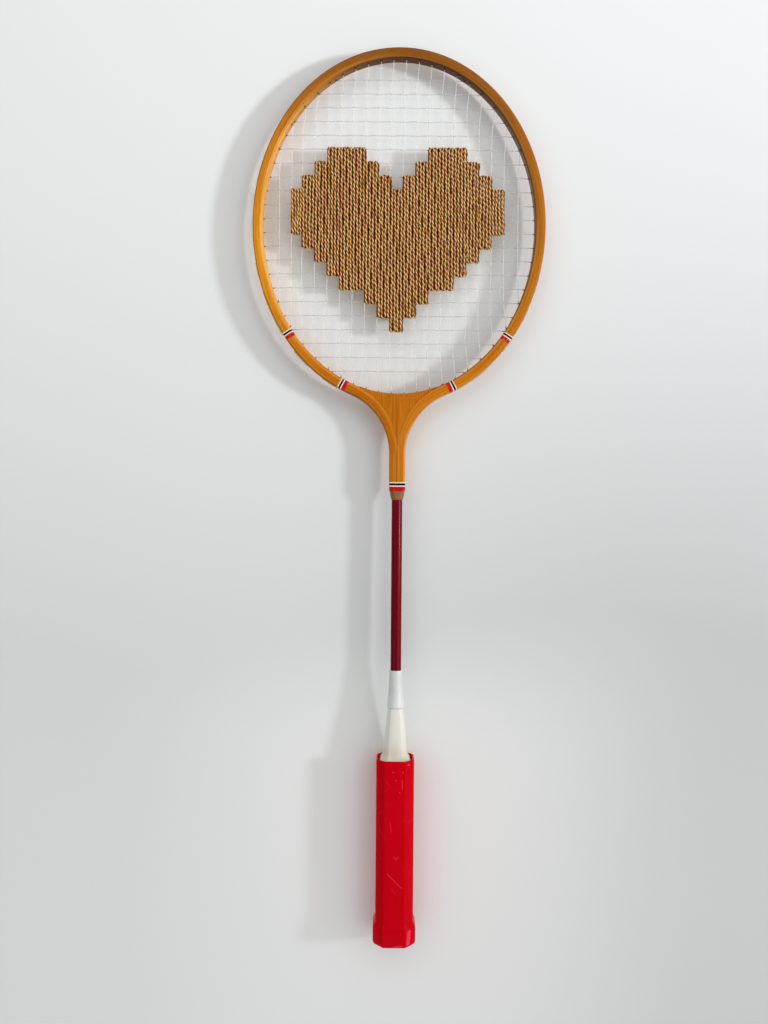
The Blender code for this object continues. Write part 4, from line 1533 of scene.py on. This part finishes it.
def build_wall():
    """A pale wall behind the racket, which leans away towards the grip.

    Seen from behind, and by the rays of shadows, it is clear.
    """
    material = bpy.data.materials.new("wall_paint")
    tree = blank_tree(material)
    place = coordinates(tree)
    height = place.part("Z")
    across = place.part("X")
    # The wall carries painted light and shade: brightest at the top, dimmest about the middle of the
    # racket's height, and darker on the right
    rise = (place.noise(2.2, detail=1) * 0.2 + height).span(-0.66, 0.16)
    dimmest_at = 0.37
    left = colour(225, 229, 230), colour(214, 218, 218), colour(232, 235, 236)
    right = colour(213, 215, 216), colour(199, 202, 203), colour(228, 231, 233)
    sides = [rise.ramp(list(zip((0.0, dimmest_at, 1.0), tones))) for tones in (left, right)]
    tone = across.span(-0.1, 0.3).between(*sides)
    # A painted pool of light on the wall beside the grip
    painted_light_by_grip = abs(across).span(0.05, 0.24, 0.42, 0.0) * height.span(-0.53, -0.40, 1.0, 0.0)
    tone = tone.blend(painted_light_by_grip, colour(244, 246, 246))
    dimples = place.noise(260, detail=3).bumped(0.2 * MM, 0.25)
    paint = place.node("BsdfDiffuse", {"Color": tone, "Normal": dimples})
    behind = place.node("NewGeometry", output="Backfacing")
    unseen = behind.largest(place.node("LightPath", output="Is Shadow Ray"))
    mixed = place.node("MixShader", {0: unseen, 1: paint, 2: place.node("BsdfTransparent")})
    add(tree, "OutputMaterial", {"Surface": mixed})
    slope = (WALL_BUTT_GAP - WALL_TOP_GAP) / -CAD_LOW.z
    edges = rectangle(WALL_REACH, FLOOR, WALL_TOP)
    stage_sheet("wall", [(x, WALL_TOP_GAP - slope * z, z) for x, z in edges], material)


def build_floor():
    """A pale floor, well below the hanging racket."""
    material, shader, place = new_material("floor_paint", Roughness=0.7)
    connect(shader, Base_Color=place.noise(3).between(colour(234, 236, 237), colour(240, 241, 242)))
    edges = rectangle(FLOOR_REACH, -FLOOR_REACH, FLOOR_REACH)
    stage_sheet("floor", [(x, y, FLOOR) for x, y in edges], material)


def rectangle(reach, low, high):
    return (-reach, low), (reach, low), (reach, high), (-reach, high)


def stage_sheet(name, corners, material):
    mesh = bpy.data.meshes.new(name)
    mesh.from_pydata(corners, [], [(0, 1, 2, 3)])
    mesh.materials.append(material)
    sheet = put(name, mesh)


def area_light(name, place, target, size, watts, tint=(1, 1, 1), beam=180):
    data = bpy.data.lights.new(name, "AREA")
    data.shape = "RECTANGLE"
    data.size, data.size_y = size
    data.energy = watts
    data.color = tint
    data.spread = math.radians(beam)
    lamp = put(name, data)
    lamp.location = place
    lamp.rotation_euler = (Vector(target) - Vector(place)).to_track_quat("-Z", "Y").to_euler()


def build_lights():
    """A soft key from the right, a weak lamp behind for the back, and a sky.

    The key falls most strongly on the head. The sky is brightest in a wide ring round the view,
    so that shadows stay flat and pale, and dim straight ahead, where glossy faces mirror it.
    """
    area_light(
        "key",
        place=(2.42, -1.2, -0.2),
        target=(0.05, 0, 0.15),
        size=(0.22, 0.3),
        watts=3.6,
        tint=(0.98, 0.99, 1),
        beam=50,
    )
    area_light(
        "back_fill", place=(-0.5, 1.3, 0.2), target=(0, 0, -0.33), size=(1.2, 1.2), watts=9.0
    )
    world = bpy.data.worlds.new("even_sky")
    bpy.context.scene.world = world
    tree = blank_tree(world)
    way = coordinates(tree, "Generated")
    seen = way.node("LightPath", output="Is Camera Ray")
    seen = seen.largest(way.node("LightPath", output="Is Transmission Ray"))
    ahead = way.part("Y") * -1.0
    wide, ring, edge, patch = [math.cos(math.radians(angle)) for angle in (76, 40, 34, 15)]
    open_sky = ahead.span(wide, ring, 0.25, 1.0) * ahead.span(edge, patch, 1.0, 0.2)
    level = way.part("Z") * SKY_ABOVE + (way.part("X") * SKY_TO_RIGHT + SKY_LEVEL)
    level = level.largest(0.08) * open_sky
    light = way.node("Background", {"Color": colour(253, 251, 249), "Strength": level})
    shown = way.node("Background", {"Color": colour(224, 228, 230), "Strength": 1.0})
    add(tree, "OutputWorld", {"Surface": way.node("MixShader", {0: seen, 1: light, 2: shown})})


def build_camera():
    """The camera stands a little left of the racket, level with the middle of its length."""
    data = bpy.data.cameras.new("front_camera")
    data.sensor_fit = "VERTICAL"
    data.sensor_height = SENSOR_HEIGHT
    data.lens = LENS
    camera = put("front_camera", data)
    camera.location = CAMERA_PLACE
    camera.rotation_euler = (math.pi / 2, CAMERA_LEAN, 0)
    bpy.context.scene.camera = camera


mains, crosses = lacing()
holes = [(end.bend, end.outside) for pair in mains + crosses for end in pair]
drilled = hole_wood()
build_hoop(holes, drilled)
build_wedge([hole for hole in holes if hole[0].z < HEAD_BOTTOM + 12 * MM], drilled)
columns = heart_columns(mains, crosses)
build_strings(mains, crosses, columns)
build_heart(columns)
build_shaft()
build_collar()
build_cone()
build_sleeve()
dress_core()
build_wall()
build_floor()
build_lights()
build_camera()
bpy.context.scene.view_settings.view_transform = "Standard"
